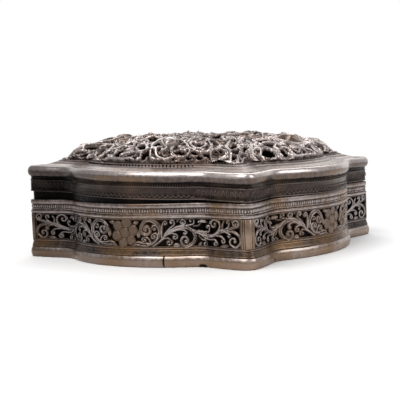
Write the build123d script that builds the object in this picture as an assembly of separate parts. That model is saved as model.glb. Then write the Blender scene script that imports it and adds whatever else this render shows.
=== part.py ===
"""Paan box: a square, four-lobed silver box with pierced scrollwork walls and a pierced, domed
lift-off lid, and inside it a lift-out tray with three lidded cups.

Origin at the centre of the underside, +Z up, front side towards -Y. Millimetres.
"""
from build123d import *
import math
import os

# Plan: each side runs from a rounded corner in to a notch, then out round a shallow lobe.
corner_half = 75.8  # centre to where the runs of two sides would meet
corner_radius = 6.3
notch_half = 44.0  # centre of a side to its notch
notch_reach = 71.8  # centre of the box to the notch line
lobe_reach = 86.6  # centre of the box to the crown of a lobe
inner_corner_radius = 3.0  # least corner radius of anything set inside the walls

# Base, from the ground up.
bottom_sheet = 1.2
base_roll_height = 6.0
base_roll_foot = 1.2  # set-back of the half-round where it meets the ground
roll_depth = 4.2  # from the widest line of either half-round in to its back
plinth_height = 4.1
plinth_set_back = 0.8
panel_height = 15.0
band_height = 7.7
wall_inset = 1.55  # widest line of the half-rounds to the face of the walls
lining_sheet = 0.8
lining_rise = 6.7  # how far the lining stands up inside the lid
pilaster_width = 7.7  # on each face, from the corner to the end of the pierced panel
pilaster_proud = 0.5

# Lid. It sits a little cocked, low on the right side, and lifts straight off.
skirt_sheet = 0.9
lid_clearance = 0.45  # between the lid's skirt and the lining
seam_gap = 0.1
lid_cock = 1.75  # degrees
skirt_height = 8.7
lid_roll_height = 5.8
lid_roll_shoulder = 2.6  # set-back of the half-round at its top
flange_width = 9.8
flange_rise = 3.2
flange_sheet = 0.9
dome_rise = 14.0
dome_sheet = 1.2
dome_flatness = 2.8  # a higher power keeps the middle of the dome flatter
dome_shoulder = 0.85  # a lower power makes its shoulder fuller
dome_sections = (1, 0.84, 0.52)  # shares of the way from its middle to its border
boss_count = 4
boss_turn = 13.0  # degrees, from the middle of a side round to its boss
boss_length = 8.0
boss_width = 6.4
boss_height = 1.1
boss_taper = 40.0  # degrees
boss_ring = 0.70  # share of the way from the middle of the dome to its border

# Piercing.
scroll_count = 3  # on each half of a wall
scroll_radius = 5.0
scroll_band = 2.4
scroll_sweep = 170.0  # degrees
scroll_margin = 1.2
dome_disc = 70.0  # reach of the dome on the round disc that its pattern is set out on
rib_width = 1.5  # round the larger openings
rib_height = 0.7
leaf_length = 7.0
leaf_width = 2.4
leaf_tilt = 20.0  # degrees
rosette_radius = 5.4
rosette_gap_size = 1.35

# Tray and cups.
tray_clearance = 0.6
tray_sheet = 0.8
tray_height = 27.6  # lifted by 4 mm, its rim still stays under the lid's skirt
partition_sheet = 0.8
partition_height = 26.0
cup_bay_depth = 44.0  # front to back, the bays that hold the cups
cup_across = 34.0  # across the flats of the eight-sided cups
cup_height = 24.0
cup_sheet = 0.8
cup_pitch = 43.0
cup_lid_sheet = 0.8
cup_lid_plug = 3.0
cup_lid_clearance = 0.3
cup_lid_rise = 3.0
cup_lid_taper = 70.0  # degrees
knob_radius = 2.6
knob_stem = 1.2
knob_half_height = 2.6
loop_offset = 32.25  # centre of the tray to the middle of either grip
loop_half = 9.0
loop_shoulder = 5.0
loop_rise = 8.5
loop_wire = 2.0

# Levels and places.
panel_half = corner_half - pilaster_width
plinth_top = base_roll_height + plinth_height
panel_top = plinth_top + panel_height
seam = panel_top + band_height
skirt_foot = seam + seam_gap
skirt_top = skirt_foot + skirt_height
lid_roll_top = skirt_top + lid_roll_height
flange_top = lid_roll_top + flange_rise
lining_inset = wall_inset + skirt_sheet + lid_clearance
dome_inset = roll_depth + flange_width
tray_inset = max(lining_inset + lining_sheet, roll_depth) + tray_clearance

lobe_bulge = lobe_reach - notch_reach
lobe_radius = (notch_half**2 + lobe_bulge**2) / (2 * lobe_bulge)
lobe_centre = lobe_reach - lobe_radius
run_length = math.hypot(corner_half - notch_half, corner_half - notch_reach)
run_along = (corner_half - notch_half) / run_length
run_out = (corner_half - notch_reach) / run_length


def side_at(inset):
    """Notch (along, out), corner and lobe radius of one side, moved in square to itself."""
    start_along = notch_half + inset * run_out
    start_out = notch_reach - inset * run_along
    radius = lobe_radius - inset
    above_centre = start_out - lobe_centre
    middle = start_along * run_along + above_centre * run_out
    rest = start_along**2 + above_centre**2 - radius**2
    step = -middle + math.copysign(math.sqrt(middle**2 - rest), middle)
    notch = (start_along + step * run_along, start_out + step * run_out)
    corner = start_along + (start_out - start_along) / (run_along - run_out) * run_along
    return notch, corner, radius


def outline(inset, height=0.0, scale=1.0):
    """Face bounded by the box's plan, moved in by inset, at a height."""
    (notch_along, notch_out), corner, radius = side_at(inset)
    round_radius = max(corner_radius - inset, inner_corner_radius)
    half_angle = math.pi / 4 - math.atan2(run_out, run_along)
    cut = round_radius / math.tan(half_angle)
    tangent = (corner - cut * run_along, corner - cut * run_out)
    crown = corner + (round_radius - round_radius / math.sin(half_angle)) / math.sqrt(2)
    swing = math.atan2(notch_along, notch_out - lobe_centre)
    edges = []
    for turn in range(4):
        place = Rotation(0, 0, 90 * turn)
        left_notch = (-notch_along, -notch_out)
        right_notch = (notch_along, -notch_out)
        next_notch = (notch_out, -notch_along)
        bend_start = (tangent[0], -tangent[1])
        bend_end = (tangent[1], -tangent[0])
        lobe = ThreePointArc(left_notch, (0, -lobe_centre - radius), right_notch)
        run_in = Line(right_notch, bend_start)
        bend = ThreePointArc(bend_start, (crown, -crown), bend_end)
        run_back = Line(bend_end, next_notch)
        edges += [place * piece for piece in (lobe, run_in, bend, run_back)]
    face = make_face(Curve() + edges).face()
    return Pos(0, 0, height) * face.scale(scale)


def ring(outer, inner, bottom, top):
    """Upright wall that follows the plan between two insets and two levels."""
    return extrude(outline(outer, bottom) - outline(inner, bottom), top - bottom)


def moulding(sections, inner, bottom, top):
    """Solid lofted in flats through (inset, height) sections, less the space inside it."""
    body = loft([outline(inset, height) for inset, height in sections], ruled=True)
    return body - extrude(outline(inner, bottom), top - bottom)


def half_round(bottom, height, lower_depth, upper_depth, flats=4):
    """Sections of a half-round edge, its two quarters of their own depths."""
    sections = []
    for step in range(flats + 1):
        angle = math.pi * step / flats
        depth = lower_depth if 2 * step < flats else upper_depth
        sections.append((depth * (1 - math.sin(angle)), bottom + height * (1 - math.cos(angle)) / 2))
    return sections


# ---- openings of the pierced work


def crescent(radius, band, sweep, strokes=3):
    """Opening bowed about +X between two points, sawn in straight strokes."""
    half = math.radians(sweep / 2)
    turns = [half * (2 * step / strokes - 1) for step in range(strokes + 1)]
    outer = [(radius, turn) for turn in turns]
    inner = [(radius - band * (1 - (turn / half) ** 2), turn) for turn in turns[-2:0:-1]]
    corners = [(reach * math.cos(turn), reach * math.sin(turn)) for reach, turn in outer + inner]
    return make_face(Polyline(*corners, close=True))


def leaf(length, width):
    """Pointed opening along X, widest over its middle third."""
    half = [(-length / 2, 0), (-length / 6, -width / 2), (length / 6, -width / 2)]
    return make_face(Polyline(*half, *[(-x, -y) for x, y in half], close=True))


def lozenge(length, width):
    """Four-cornered shape along X."""
    corners = ((length / 2, 0), (0, width / 2), (-length / 2, 0), (0, -width / 2))
    return make_face(Polyline(*corners, close=True))


def wall_piercing():
    """Openings of one side, along X and up Y from the middle of the panel."""
    gap = RegularPolygon(rosette_gap_size, 3)
    openings = [Rotation(0, 0, 60 * turn) * Pos(rosette_radius, 0) * gap for turn in range(6)]
    first = rosette_radius + rosette_gap_size + scroll_radius
    last = panel_half - scroll_radius
    pitch = (last - first) / (scroll_count - 1)
    lift = panel_height / 2 - scroll_radius - scroll_margin
    for side in (1, -1):
        for station in range(scroll_count):
            rise = 1 if station % 2 else -1
            scroll = Rotation(0, 0, rise * 90) * crescent(scroll_radius, scroll_band, scroll_sweep)
            openings.append(Pos(side * (first + pitch * station), rise * lift) * scroll)
            turned_leaf = Rotation(0, 0, side * rise * leaf_tilt) * leaf(leaf_length, leaf_width)
            openings.append(Pos(side * (first + pitch * station), -rise * lift) * turned_leaf)
    return Sketch() + openings


# One quarter of the dome, on its round disc and from the line through a boss: across that line,
# out from the middle, length, width and tilt of each opening, the larger ones first.
dome_ribbed_openings = (
    (-6.0, 50.0, 13.0, 5.6, 8),
    (8.6, 51.0, 10.5, 4.6, -16),
    (-13.0, 56.5, 8.0, 4.6, 30),
    (18.5, 52.5, 7.0, 4.6, 60),
    (31.0, 47.5, 11.0, 5.0, -30),
    (39.5, 47.5, 8.5, 5.0, -34),
    (-41.0, 51.5, 8.5, 5.2, 50),
    (-28.5, 43.0, 9.0, 5.0, 34),
)
dome_plain_openings = (
    (-1.5, 60.5, 6.0, 4.4, 20),
    (9.8, 62.8, 5.6, 4.0, 90),
    (-7.6, 64.6, 5.4, 3.6, 70),
    (17.5, 61.0, 5.4, 3.4, 76),
    (-26.0, 59.5, 5.6, 4.0, 110),
    (-34.8, 57.0, 6.4, 4.4, 120),
    (25.0, 50.5, 8.0, 4.0, -20),
    (-20.5, 50.0, 6.6, 4.2, 30),
    (14.5, 42.5, 7.0, 4.2, 70),
    (-13.0, 42.0, 7.4, 4.2, 30),
    (-4.0, 36.0, 7.4, 4.0, -30),
    (6.0, 34.5, 7.4, 4.0, 40),
    (22.0, 39.0, 8.0, 4.2, -30),
    (-21.0, 34.5, 8.0, 4.2, 40),
    (16.5, 28.5, 8.0, 4.2, -20),
    (0.0, 23.5, 8.0, 4.2, 0),
    (-12.5, 24.5, 8.0, 4.2, 20),
    (4.2, 10.2, 8.6, 4.0, -22),
    (-4.2, 10.2, 8.6, 4.0, 22),
)


def dome_reach(angle):
    """Reach of the dome's border from the middle, at an angle from the middle of a side."""
    (notch_along, notch_out), _, radius = side_at(dome_inset)
    if abs(angle) < math.atan2(notch_along, notch_out):
        across = lobe_centre * math.sin(angle)
        return lobe_centre * math.cos(angle) + math.sqrt(radius**2 - across**2)
    across_run = run_along * math.cos(angle) - run_out * math.sin(abs(angle))
    return (run_along * notch_out - run_out * notch_along) / across_run


def dome_leaves(openings, outline_of=leaf, margin=0.0):
    """Shapes of the dome's openings in plan, each wider and longer by a margin all round."""
    quarter = math.pi / 2
    leaves = []
    for across, out, length, width, tilt in openings:
        turn_from_side = math.radians(boss_turn) + math.atan2(across, out)
        from_side = (turn_from_side + quarter / 2) % quarter - quarter / 2
        spread = dome_reach(from_side) / dome_disc
        shape = outline_of(length + 2 * margin, width + 2 * margin)
        for side in range(4):
            way = Rotation(0, 0, math.degrees(side * quarter + turn_from_side))
            place = way * Pos(math.hypot(across, out) * spread, 0)
            leaves.append(place * Rotation(0, 0, tilt - math.degrees(math.atan2(across, out))) * shape)
    return Sketch() + leaves


# ---- base


def make_bottom_plate():
    return extrude(outline(roll_depth), bottom_sheet)


def make_base_roll():
    sections = half_round(0, base_roll_height, base_roll_foot, wall_inset)
    return moulding(sections, roll_depth, 0, base_roll_height)


def make_plinth():
    sections = [
        (plinth_set_back, base_roll_height),
        (wall_inset, plinth_top),
    ]
    return moulding(sections, lining_inset, base_roll_height, plinth_top)


def make_panel(turn):
    wall = ring(wall_inset, lining_inset, plinth_top, panel_top)
    middle = plinth_top + panel_height / 2
    side = Pos(0, -lobe_reach / 2, middle) * Box(2 * panel_half, lobe_reach, panel_height)
    cutters = extrude(Plane.XZ * Pos(0, middle) * wall_piercing(), lobe_reach)
    return Rotation(0, 0, turn) * ((wall & side) - cutters)


def make_pilaster(turn):
    wall = ring(wall_inset - pilaster_proud, lining_inset, plinth_top, panel_top)
    middle = panel_half + pilaster_width / 2
    corner = Pos(middle, -middle, plinth_top + panel_height / 2) * Box(pilaster_width, pilaster_width, panel_height)
    return Rotation(0, 0, turn) * (wall & corner)


def make_base_band():
    return ring(wall_inset, lining_inset, panel_top, seam)


def make_lining():
    return ring(lining_inset, lining_inset + lining_sheet, base_roll_height, seam + lining_rise)


# ---- lid


def cocked(piece):
    """Tip a piece of the lid about the foot of its skirt on the right side."""
    hinge_line = Axis((lobe_reach - wall_inset, 0, skirt_foot), (0, 1, 0))
    return piece.rotate(hinge_line, lid_cock)


def make_lid_skirt():
    return ring(wall_inset, wall_inset + skirt_sheet, skirt_foot, skirt_top)


def make_lid_roll():
    sections = half_round(skirt_top, lid_roll_height, wall_inset, lid_roll_shoulder)
    return moulding(sections, roll_depth, skirt_top, lid_roll_top)


def make_lid_flange():
    steps = []
    for share in (0, 0.5, 1):
        steps.append((roll_depth + flange_width * share, lid_roll_top + flange_rise * share**2))
    under = [(inset, height - flange_sheet) for inset, height in steps]
    upper = loft([outline(*under[0])] + [outline(*step) for step in steps], ruled=True)
    lower = loft([outline(*step) for step in under], ruled=True)
    middle = extrude(outline(dome_inset, under[-1][1]), flange_sheet)
    return upper - lower - middle


def dome_level(share):
    """Height of the dome's outer face at a share of the way from its middle to its border."""
    return flange_top + dome_rise * (1 - share**dome_flatness) ** dome_shoulder


def dome_solid(drop):
    """Everything under the dome's outer face, lowered by drop, down to its border."""
    layers = [outline(dome_inset, dome_level(share) - drop, share) for share in dome_sections]
    return loft(layers, ruled=True)


def dome_ribs():
    """Raised borders of the larger openings, down to the dome's foot."""
    leaves = Pos(0, 0, flange_top) * dome_leaves(dome_ribbed_openings, leaf, rib_width)
    return extrude(leaves, 2 * dome_rise) & dome_solid(-rib_height)


def make_lid_dome():
    rim = extrude(outline(dome_inset, flange_top - dome_sheet), dome_sheet)
    shell = rim + dome_solid(0) + dome_ribs() - dome_solid(dome_sheet)
    openings = dome_leaves(dome_ribbed_openings) + dome_leaves(dome_plain_openings, lozenge)
    return shell - extrude(Pos(0, 0, flange_top - dome_sheet) * openings, 2 * dome_rise)


def make_lid_bosses():
    """Lozenges in a ring on the dome, each with its underside shaped to it."""
    covered = dome_solid(0) + dome_ribs()
    border = dome_reach(math.radians(boss_turn))
    half_length = boss_length / 2
    near = boss_ring - half_length / border
    far = boss_ring + half_length / border
    slope = math.atan2(dome_level(near) - dome_level(far), boss_length)
    seat = Pos(boss_ring * border, 0, dome_level(boss_ring)) * Rotation(0, math.degrees(slope), 0)
    foot = seat * lozenge(boss_length, boss_width)
    block = extrude(foot, boss_height, taper=boss_taper) + extrude(foot, -2 * boss_height)
    bosses = []
    for turn in range(boss_count):
        bosses.append(Rotation(0, 0, boss_turn + 360 / boss_count * turn) * block - covered)
    return bosses


# ---- tray and cups


def tray_inside(bottom, top):
    return extrude(outline(tray_inset + tray_sheet, bottom), top - bottom)


tray_floor = bottom_sheet + tray_sheet
partition_top = tray_floor + partition_height
long_partition_y = cup_bay_depth - (notch_reach - tray_inset)
cup_y = long_partition_y - cup_bay_depth / 2
cup_places = {"lime": -cup_pitch, "catechu": 0, "spice": cup_pitch}
back_partition_x = cup_pitch / 2


def make_tray_shell():
    outer = extrude(outline(tray_inset, bottom_sheet), tray_height)
    return outer - tray_inside(tray_floor, bottom_sheet + tray_height)


def make_partition(low_x, high_x, low_y, high_y):
    middle = Pos((low_x + high_x) / 2, (low_y + high_y) / 2, tray_floor + partition_height / 2)
    plate = middle * Box(high_x - low_x, high_y - low_y, partition_height)
    return plate & tray_inside(tray_floor, partition_top)


def make_tray_loops():
    """Two arched grips, each cut from a strip and standing on the long partition."""

    def arch(foot, rise):
        corners = ((-foot, 0), (-loop_shoulder, rise), (loop_shoulder, rise), (foot, 0))
        return make_face(Polyline(*corners, close=True))

    strip = arch(loop_half, loop_rise) - arch(loop_half - loop_wire, loop_rise - loop_wire)
    loop = extrude(Plane.XZ * strip, partition_sheet / 2, both=True)
    return [Pos(side * loop_offset, long_partition_y, partition_top) * loop for side in (-1, 1)]


def octagon(across):
    return RegularPolygon(across / 2, 8, major_radius=False)


def make_cup(x):
    body = extrude(octagon(cup_across), cup_height)
    hollow = Pos(0, 0, cup_sheet) * extrude(octagon(cup_across - 2 * cup_sheet), cup_height)
    return Pos(x, cup_y, tray_floor) * (body - hollow)


def make_cup_lid(x):
    plug_across = cup_across - 2 * cup_sheet - 2 * cup_lid_clearance
    plug = extrude(octagon(plug_across) - octagon(plug_across - 2 * cup_lid_sheet), -cup_lid_plug)
    top = extrude(octagon(cup_across), cup_lid_sheet)
    crown = Pos(0, 0, cup_lid_sheet) * extrude(octagon(cup_across), cup_lid_rise, taper=cup_lid_taper)
    return Pos(x, cup_y, tray_floor + cup_height) * (top + crown + plug)


def make_knob(x):
    flare = math.degrees(math.atan2(knob_radius - knob_stem, knob_half_height))
    lower = extrude(octagon(2 * knob_stem), knob_half_height, taper=-flare)
    upper = Pos(0, 0, knob_half_height) * extrude(octagon(2 * knob_radius), knob_half_height, taper=flare)
    crown_top = tray_floor + cup_height + cup_lid_sheet + cup_lid_rise
    return Pos(x, cup_y, crown_top) * (lower + upper)


def make_parts():
    parts = {
        "bottom_plate": make_bottom_plate(),
        "base_roll": make_base_roll(),
        "plinth": make_plinth(),
        "base_band": make_base_band(),
        "lining": make_lining(),
    }
    for turn, side in enumerate(("front", "right", "back", "left")):
        parts[f"panel_{side}"] = make_panel(90 * turn)
    for turn, corner in enumerate(("front_right", "back_right", "back_left", "front_left")):
        parts[f"pilaster_{corner}"] = make_pilaster(90 * turn)
    lid = {
        "lid_skirt": make_lid_skirt(),
        "lid_roll": make_lid_roll(),
        "lid_flange": make_lid_flange(),
        "lid_dome": make_lid_dome(),
        "lid_bosses": Part() + make_lid_bosses(),
    }
    for name, piece in lid.items():
        parts[name] = cocked(piece)
    half = partition_sheet / 2
    front = long_partition_y - half
    back = long_partition_y + half
    parts["tray_shell"] = make_tray_shell()
    parts["partition_long"] = make_partition(-lobe_reach, lobe_reach, front, back)
    for side, x in (("left", -cup_pitch / 2), ("right", cup_pitch / 2)):
        parts[f"partition_{side}"] = make_partition(x - half, x + half, -lobe_reach, front)
    x = back_partition_x
    parts["partition_back"] = make_partition(x - half, x + half, back, lobe_reach)
    parts["tray_loops"] = Part() + make_tray_loops()
    for name, x in cup_places.items():
        parts[f"cup_{name}"] = make_cup(x)
        parts[f"cup_lid_{name}"] = make_cup_lid(x)
        parts[f"knob_{name}"] = make_knob(x)
    return parts


os.makedirs("parts", exist_ok=True)
for part_name, shape in make_parts().items():
    export_step(shape, f"parts/{part_name}.step")
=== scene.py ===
"""Looks of a silver paan box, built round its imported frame: pierced and chased walls and dome,
half-round mouldings, punched borders and old oxidised silver. Metres in Blender, millimetres in
the pattern work.
"""

import math

import bpy
import numpy as np
from bpy.props import FloatProperty, FloatVectorProperty, PointerProperty
from bpy.types import Operator, Panel, PropertyGroup
from mathutils import Matrix, Vector


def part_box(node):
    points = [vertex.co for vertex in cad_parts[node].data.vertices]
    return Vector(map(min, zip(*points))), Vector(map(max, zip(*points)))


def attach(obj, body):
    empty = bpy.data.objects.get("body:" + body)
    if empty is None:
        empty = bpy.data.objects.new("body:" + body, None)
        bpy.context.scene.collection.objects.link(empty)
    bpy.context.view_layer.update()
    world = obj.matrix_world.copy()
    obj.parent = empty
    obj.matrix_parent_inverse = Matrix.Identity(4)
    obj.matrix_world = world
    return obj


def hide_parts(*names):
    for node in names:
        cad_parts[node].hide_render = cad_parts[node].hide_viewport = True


bl_info = {
    "name": "Pierced Paan Box",
    "version": (1, 0, 0),
    "blender": (4, 5, 0),
    "location": "3D View > Sidebar > Paan Box",
    "description": "Pierced and chased silver pieces round a paan box's frame",
    "category": "Object",
}

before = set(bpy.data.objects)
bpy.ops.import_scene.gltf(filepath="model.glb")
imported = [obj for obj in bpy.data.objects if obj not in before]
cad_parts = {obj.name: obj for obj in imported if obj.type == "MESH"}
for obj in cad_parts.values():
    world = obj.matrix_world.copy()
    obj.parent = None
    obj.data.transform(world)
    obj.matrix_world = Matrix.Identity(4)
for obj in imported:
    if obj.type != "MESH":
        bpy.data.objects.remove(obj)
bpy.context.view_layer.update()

MM = 0.001
SIDES = ("front", "right", "back", "left")
CORNERS = ("front_right", "back_right", "back_left", "front_left")
SHARP_ANGLE = math.radians(50)

# Plan of the box: arcs of one side, along it and out from the centre.
LOBE_CENTRE = 13.8
LOBE_RADIUS = 72.8
RUN_ALONG = 68.7
RUN_OUT = -21.7
RUN_RADIUS = 96.7
CORNER_RADIUS = 6.3
LEAST_CORNER = 3.0
STATION_STEPS = (26, 12, 7)  # on half a lobe, on a run and on half a corner

# Notches are eased over a reach to each side, by a weighted mean of places along the plan.
NOTCH_REACH = 8.5
NOTCH_SHARES = ((-0.9, 0.6), (-0.6, 0.9), (-0.3, 1.0), (0.0, 1.0), (0.3, 1.0), (0.6, 0.9),
                (0.9, 0.6))
LOBE_LENGTH = 48.0
RUN_LENGTH = 27.0

# Levels: the base's as the frame has them, and the lid's before it is cocked.
BASE_ROLL_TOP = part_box("base_roll")[1].z / MM
PANEL_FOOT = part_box("panel_front")[0].z / MM
PANEL_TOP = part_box("panel_front")[1].z / MM
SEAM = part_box("base_band")[1].z / MM
SKIRT_FOOT = SEAM + 0.1
SKIRT_TOP = SKIRT_FOOT + 8.7
LID_ROLL_TOP = SKIRT_TOP + 5.8
FLANGE_RISE = 3.2
FLANGE_TOP = LID_ROLL_TOP + FLANGE_RISE

# Set-backs from the widest line of the half-round mouldings.
WALL_INSET = 1.55
LINING_INSET = 2.9
ROLL_DEPTH = 4.2
DOME_INSET = 14.0

CURL_STEPS = 22  # points on a full turn of a scroll's end

# The lid sits cocked about the foot of its skirt on the right side.
LID_COCK = math.radians(1.75)
HINGE_X = 86.6 - WALL_INSET


# ---- plan of the box


def plan_side(inset, station):
    """Along and out of one side, its notches eased to one flowing line."""
    inset, station = np.broadcast_arrays(np.asarray(inset, float), np.asarray(station, float))
    part = np.abs(station)
    away = np.where(part < 1, (1 - part) * LOBE_LENGTH, (part - 1) * RUN_LENGTH)
    reach = NOTCH_REACH * np.exp(-((away / (1.3 * NOTCH_REACH)) ** 2)) * np.clip(2 - part, 0, 1)
    along, out, total = 0.0, 0.0, 0.0
    for share, weight in NOTCH_SHARES:
        shift = share * reach
        moved = np.where(part < 1, part + shift / LOBE_LENGTH, part + shift / RUN_LENGTH)
        over = (part < 1) & (moved > 1)
        moved = np.where(over, 1 + (moved - 1) * LOBE_LENGTH / RUN_LENGTH, moved)
        under = (part >= 1) & (moved < 1)
        moved = np.where(under, 1 + (moved - 1) * RUN_LENGTH / LOBE_LENGTH, moved)
        here = creased_side(inset, moved)
        along = along + weight * here[0]
        out = out + weight * here[1]
        total += weight
    return np.sign(station) * along / total, out / total


def creased_side(inset, part):
    """Along and out of half a side at stations 0 to 3: lobe to 1, run to 2, then corner."""
    lobe = LOBE_RADIUS - inset
    run = RUN_RADIUS - inset
    corner = np.maximum(CORNER_RADIUS - inset, LEAST_CORNER)
    gap_out = RUN_OUT - LOBE_CENTRE
    gap = math.hypot(RUN_ALONG, gap_out)
    reach = (lobe**2 - run**2 + gap**2) / (2 * gap)
    lift = np.sqrt(lobe**2 - reach**2)
    notch_along = (reach * RUN_ALONG - lift * gap_out) / gap
    notch_out = LOBE_CENTRE + (reach * gap_out + lift * RUN_ALONG) / gap
    lobe_turn = np.arctan2(notch_along, notch_out - LOBE_CENTRE)
    run_start = np.arctan2(RUN_ALONG - notch_along, notch_out - RUN_OUT)
    shift = RUN_ALONG + RUN_OUT
    spare = RUN_ALONG**2 + RUN_OUT**2 - (run - corner) ** 2
    centre = (2 * shift + np.sqrt(4 * shift**2 - 8 * spare)) / 4
    run_end = np.arctan2(RUN_ALONG - centre, centre - RUN_OUT)
    on_lobe = np.clip(part, 0, 1) * lobe_turn
    on_run = run_start + np.clip(part - 1, 0, 1) * (run_end - run_start)
    on_corner = -run_end + np.clip(part - 2, 0, 1) * (math.pi / 4 + run_end)
    along = np.where(part <= 1, lobe * np.sin(on_lobe), RUN_ALONG - run * np.sin(on_run))
    out = np.where(part <= 1, LOBE_CENTRE + lobe * np.cos(on_lobe), RUN_OUT + run * np.cos(on_run))
    along = np.where(part > 2, centre + corner * np.sin(on_corner), along)
    return along, np.where(part > 2, centre + corner * np.cos(on_corner), out)


def side_lengths(inset):
    """Lengths of the half lobe, the run and the half corner of one side."""
    along, out = plan_side(inset, np.linspace(0, 3, 601))
    return [part.sum() for part in np.split(np.hypot(np.diff(along), np.diff(out)), 3)]


def station_of(length, lengths):
    """Station of a point so far along the wall from the middle of its lobe."""
    far = np.abs(length)
    lobe, run, corner = lengths
    part = np.where(far < lobe, far / lobe, 1 + (far - lobe) / run)
    part = np.where(far > lobe + run, 2 + (far - lobe - run) / corner, part)
    return np.sign(length) * np.clip(part, 0, 3)


def turned(along, out, turn):
    """Plan position of a point of side number turn: front, right, back, left."""
    angle = math.pi / 2 * turn
    x = along * math.cos(angle) + out * math.sin(angle)
    y = along * math.sin(angle) - out * math.cos(angle)
    return x, y


def plan_round(inset, height, eased=0):
    """Points all round the box at one inset, the same number in the same order for any inset."""
    half = np.concatenate([first + np.linspace(0, 1, steps + 1)[1:]
                           for first, steps in enumerate(STATION_STEPS)])
    along, out = plan_side(inset, np.concatenate([-half[::-1], [0], half[:-1]]))
    ring = np.concatenate([np.stack(turned(along, out, turn), 1) for turn in range(4)])
    for _ in range(eased):
        ring = ring + 0.25 * (np.roll(ring, 1, 0) + np.roll(ring, -1, 0) - 2 * ring)
    return np.column_stack([ring, np.full(len(ring), height)])


def cocked(points):
    """Tips lid points about the foot of the skirt on the right side."""
    x = points[:, 0] - HINGE_X
    z = points[:, 2] - SKIRT_FOOT
    turned_x = HINGE_X + x * math.cos(LID_COCK) + z * math.sin(LID_COCK)
    turned_z = SKIRT_FOOT - x * math.sin(LID_COCK) + z * math.cos(LID_COCK)
    return np.stack([turned_x, points[:, 1], turned_z], 1)


def uneven(points, seed, longest, count=7):
    """A smooth value of about -1 to 1 at each point, from a few waves: hand-made unevenness."""
    rng = np.random.default_rng(seed)
    ways = rng.normal(size=(count, 3))
    ways /= np.linalg.norm(ways, axis=1)[:, None]
    ways = ways * (2 * math.pi / (longest * rng.uniform(0.35, 1.0, count)))[:, None]
    phases = rng.uniform(0, 2 * math.pi, count)
    return np.sin(points @ ways.T + phases).sum(1) / math.sqrt(count)


# ---- meshes


def set_wear(mesh, wear):
    """Writes how rubbed each point is, for the finish to read."""
    layer = mesh.attributes.new("wear", "FLOAT", "POINT")
    layer.data.foreach_set("value", np.asarray(wear, np.float32))


def shown(name, mesh, body, replaces=()):
    """Piece of a mesh on its body and the frame's nodes that it stands for."""
    piece = bpy.data.objects.new(name, mesh)
    bpy.context.scene.collection.objects.link(piece)
    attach(piece, body)
    if replaces:
        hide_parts(*replaces)
    return piece


def mesh_piece(name, points, faces, wear, finish, body, replaces):
    """A finished piece from points in millimetres and groups of faces of point numbers."""
    mesh = bpy.data.meshes.new(name)
    mesh.vertices.add(len(points))
    mesh.vertices.foreach_set("co", (points * MM).astype(np.float32).ravel())
    sizes = np.concatenate([np.full(len(group), group.shape[1], np.int32) for group in faces])
    loops = np.concatenate([group.ravel() for group in faces])
    mesh.loops.add(len(loops))
    mesh.loops.foreach_set("vertex_index", loops.astype(np.int32))
    mesh.polygons.add(len(sizes))
    mesh.polygons.foreach_set("loop_start", (np.cumsum(sizes) - sizes).astype(np.int32))
    mesh.polygons.foreach_set("loop_total", sizes)
    mesh.polygons.foreach_set("use_smooth", np.full(len(sizes), True))
    mesh.update(calc_edges=True)
    mesh.validate()
    set_wear(mesh, wear)
    mesh.materials.append(finish_of(finish))
    return shown(name, mesh, body, replaces)


def quads(rows, per, wrap_rows, wrap_columns, first=0):
    """Faces of a grid of numbered points, closed on itself where it is wrapped."""
    index = first + np.arange(rows * per).reshape(rows, per)
    index = np.pad(index, ((0, wrap_rows), (0, wrap_columns)), mode="wrap")
    corners = [index[:-1, :-1], index[:-1, 1:], index[1:, 1:], index[1:, :-1]]
    return np.stack(corners, -1).reshape(-1, 4)


def moulding(name, profile, wear, finish, body, replaces, seed, dent, eased=0):
    """Piece of a closed section of (inset, height) pairs run round the plan, a little dented."""
    points = np.concatenate([plan_round(*spot, eased) for spot in profile])
    per = len(points) // len(profile)
    shift = dent * uneven(points, seed, 45.0)
    lift = dent * uneven(points, seed + 1, 30.0)
    outward = points[:, :2] / np.linalg.norm(points[:, :2], axis=1)[:, None]
    points[:, :2] += outward * shift[:, None]
    points[:, 2] += 0.6 * lift
    if body == "lid":
        points = cocked(points)
    faces = [quads(len(profile), per, 1, 1)]
    mesh_piece(name, points, faces, np.repeat(wear, per), finish, body, replaces)


def arc(inset, height, depth, rise, start, end, steps):
    """Section points on an ellipse, angles in degrees from straight outwards, turning upwards."""
    angles = np.radians(np.linspace(start, end, steps + 1))
    return [(inset - depth * math.cos(a), height + rise * math.sin(a)) for a in angles]


# ---- sawn and chased sheet


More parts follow.
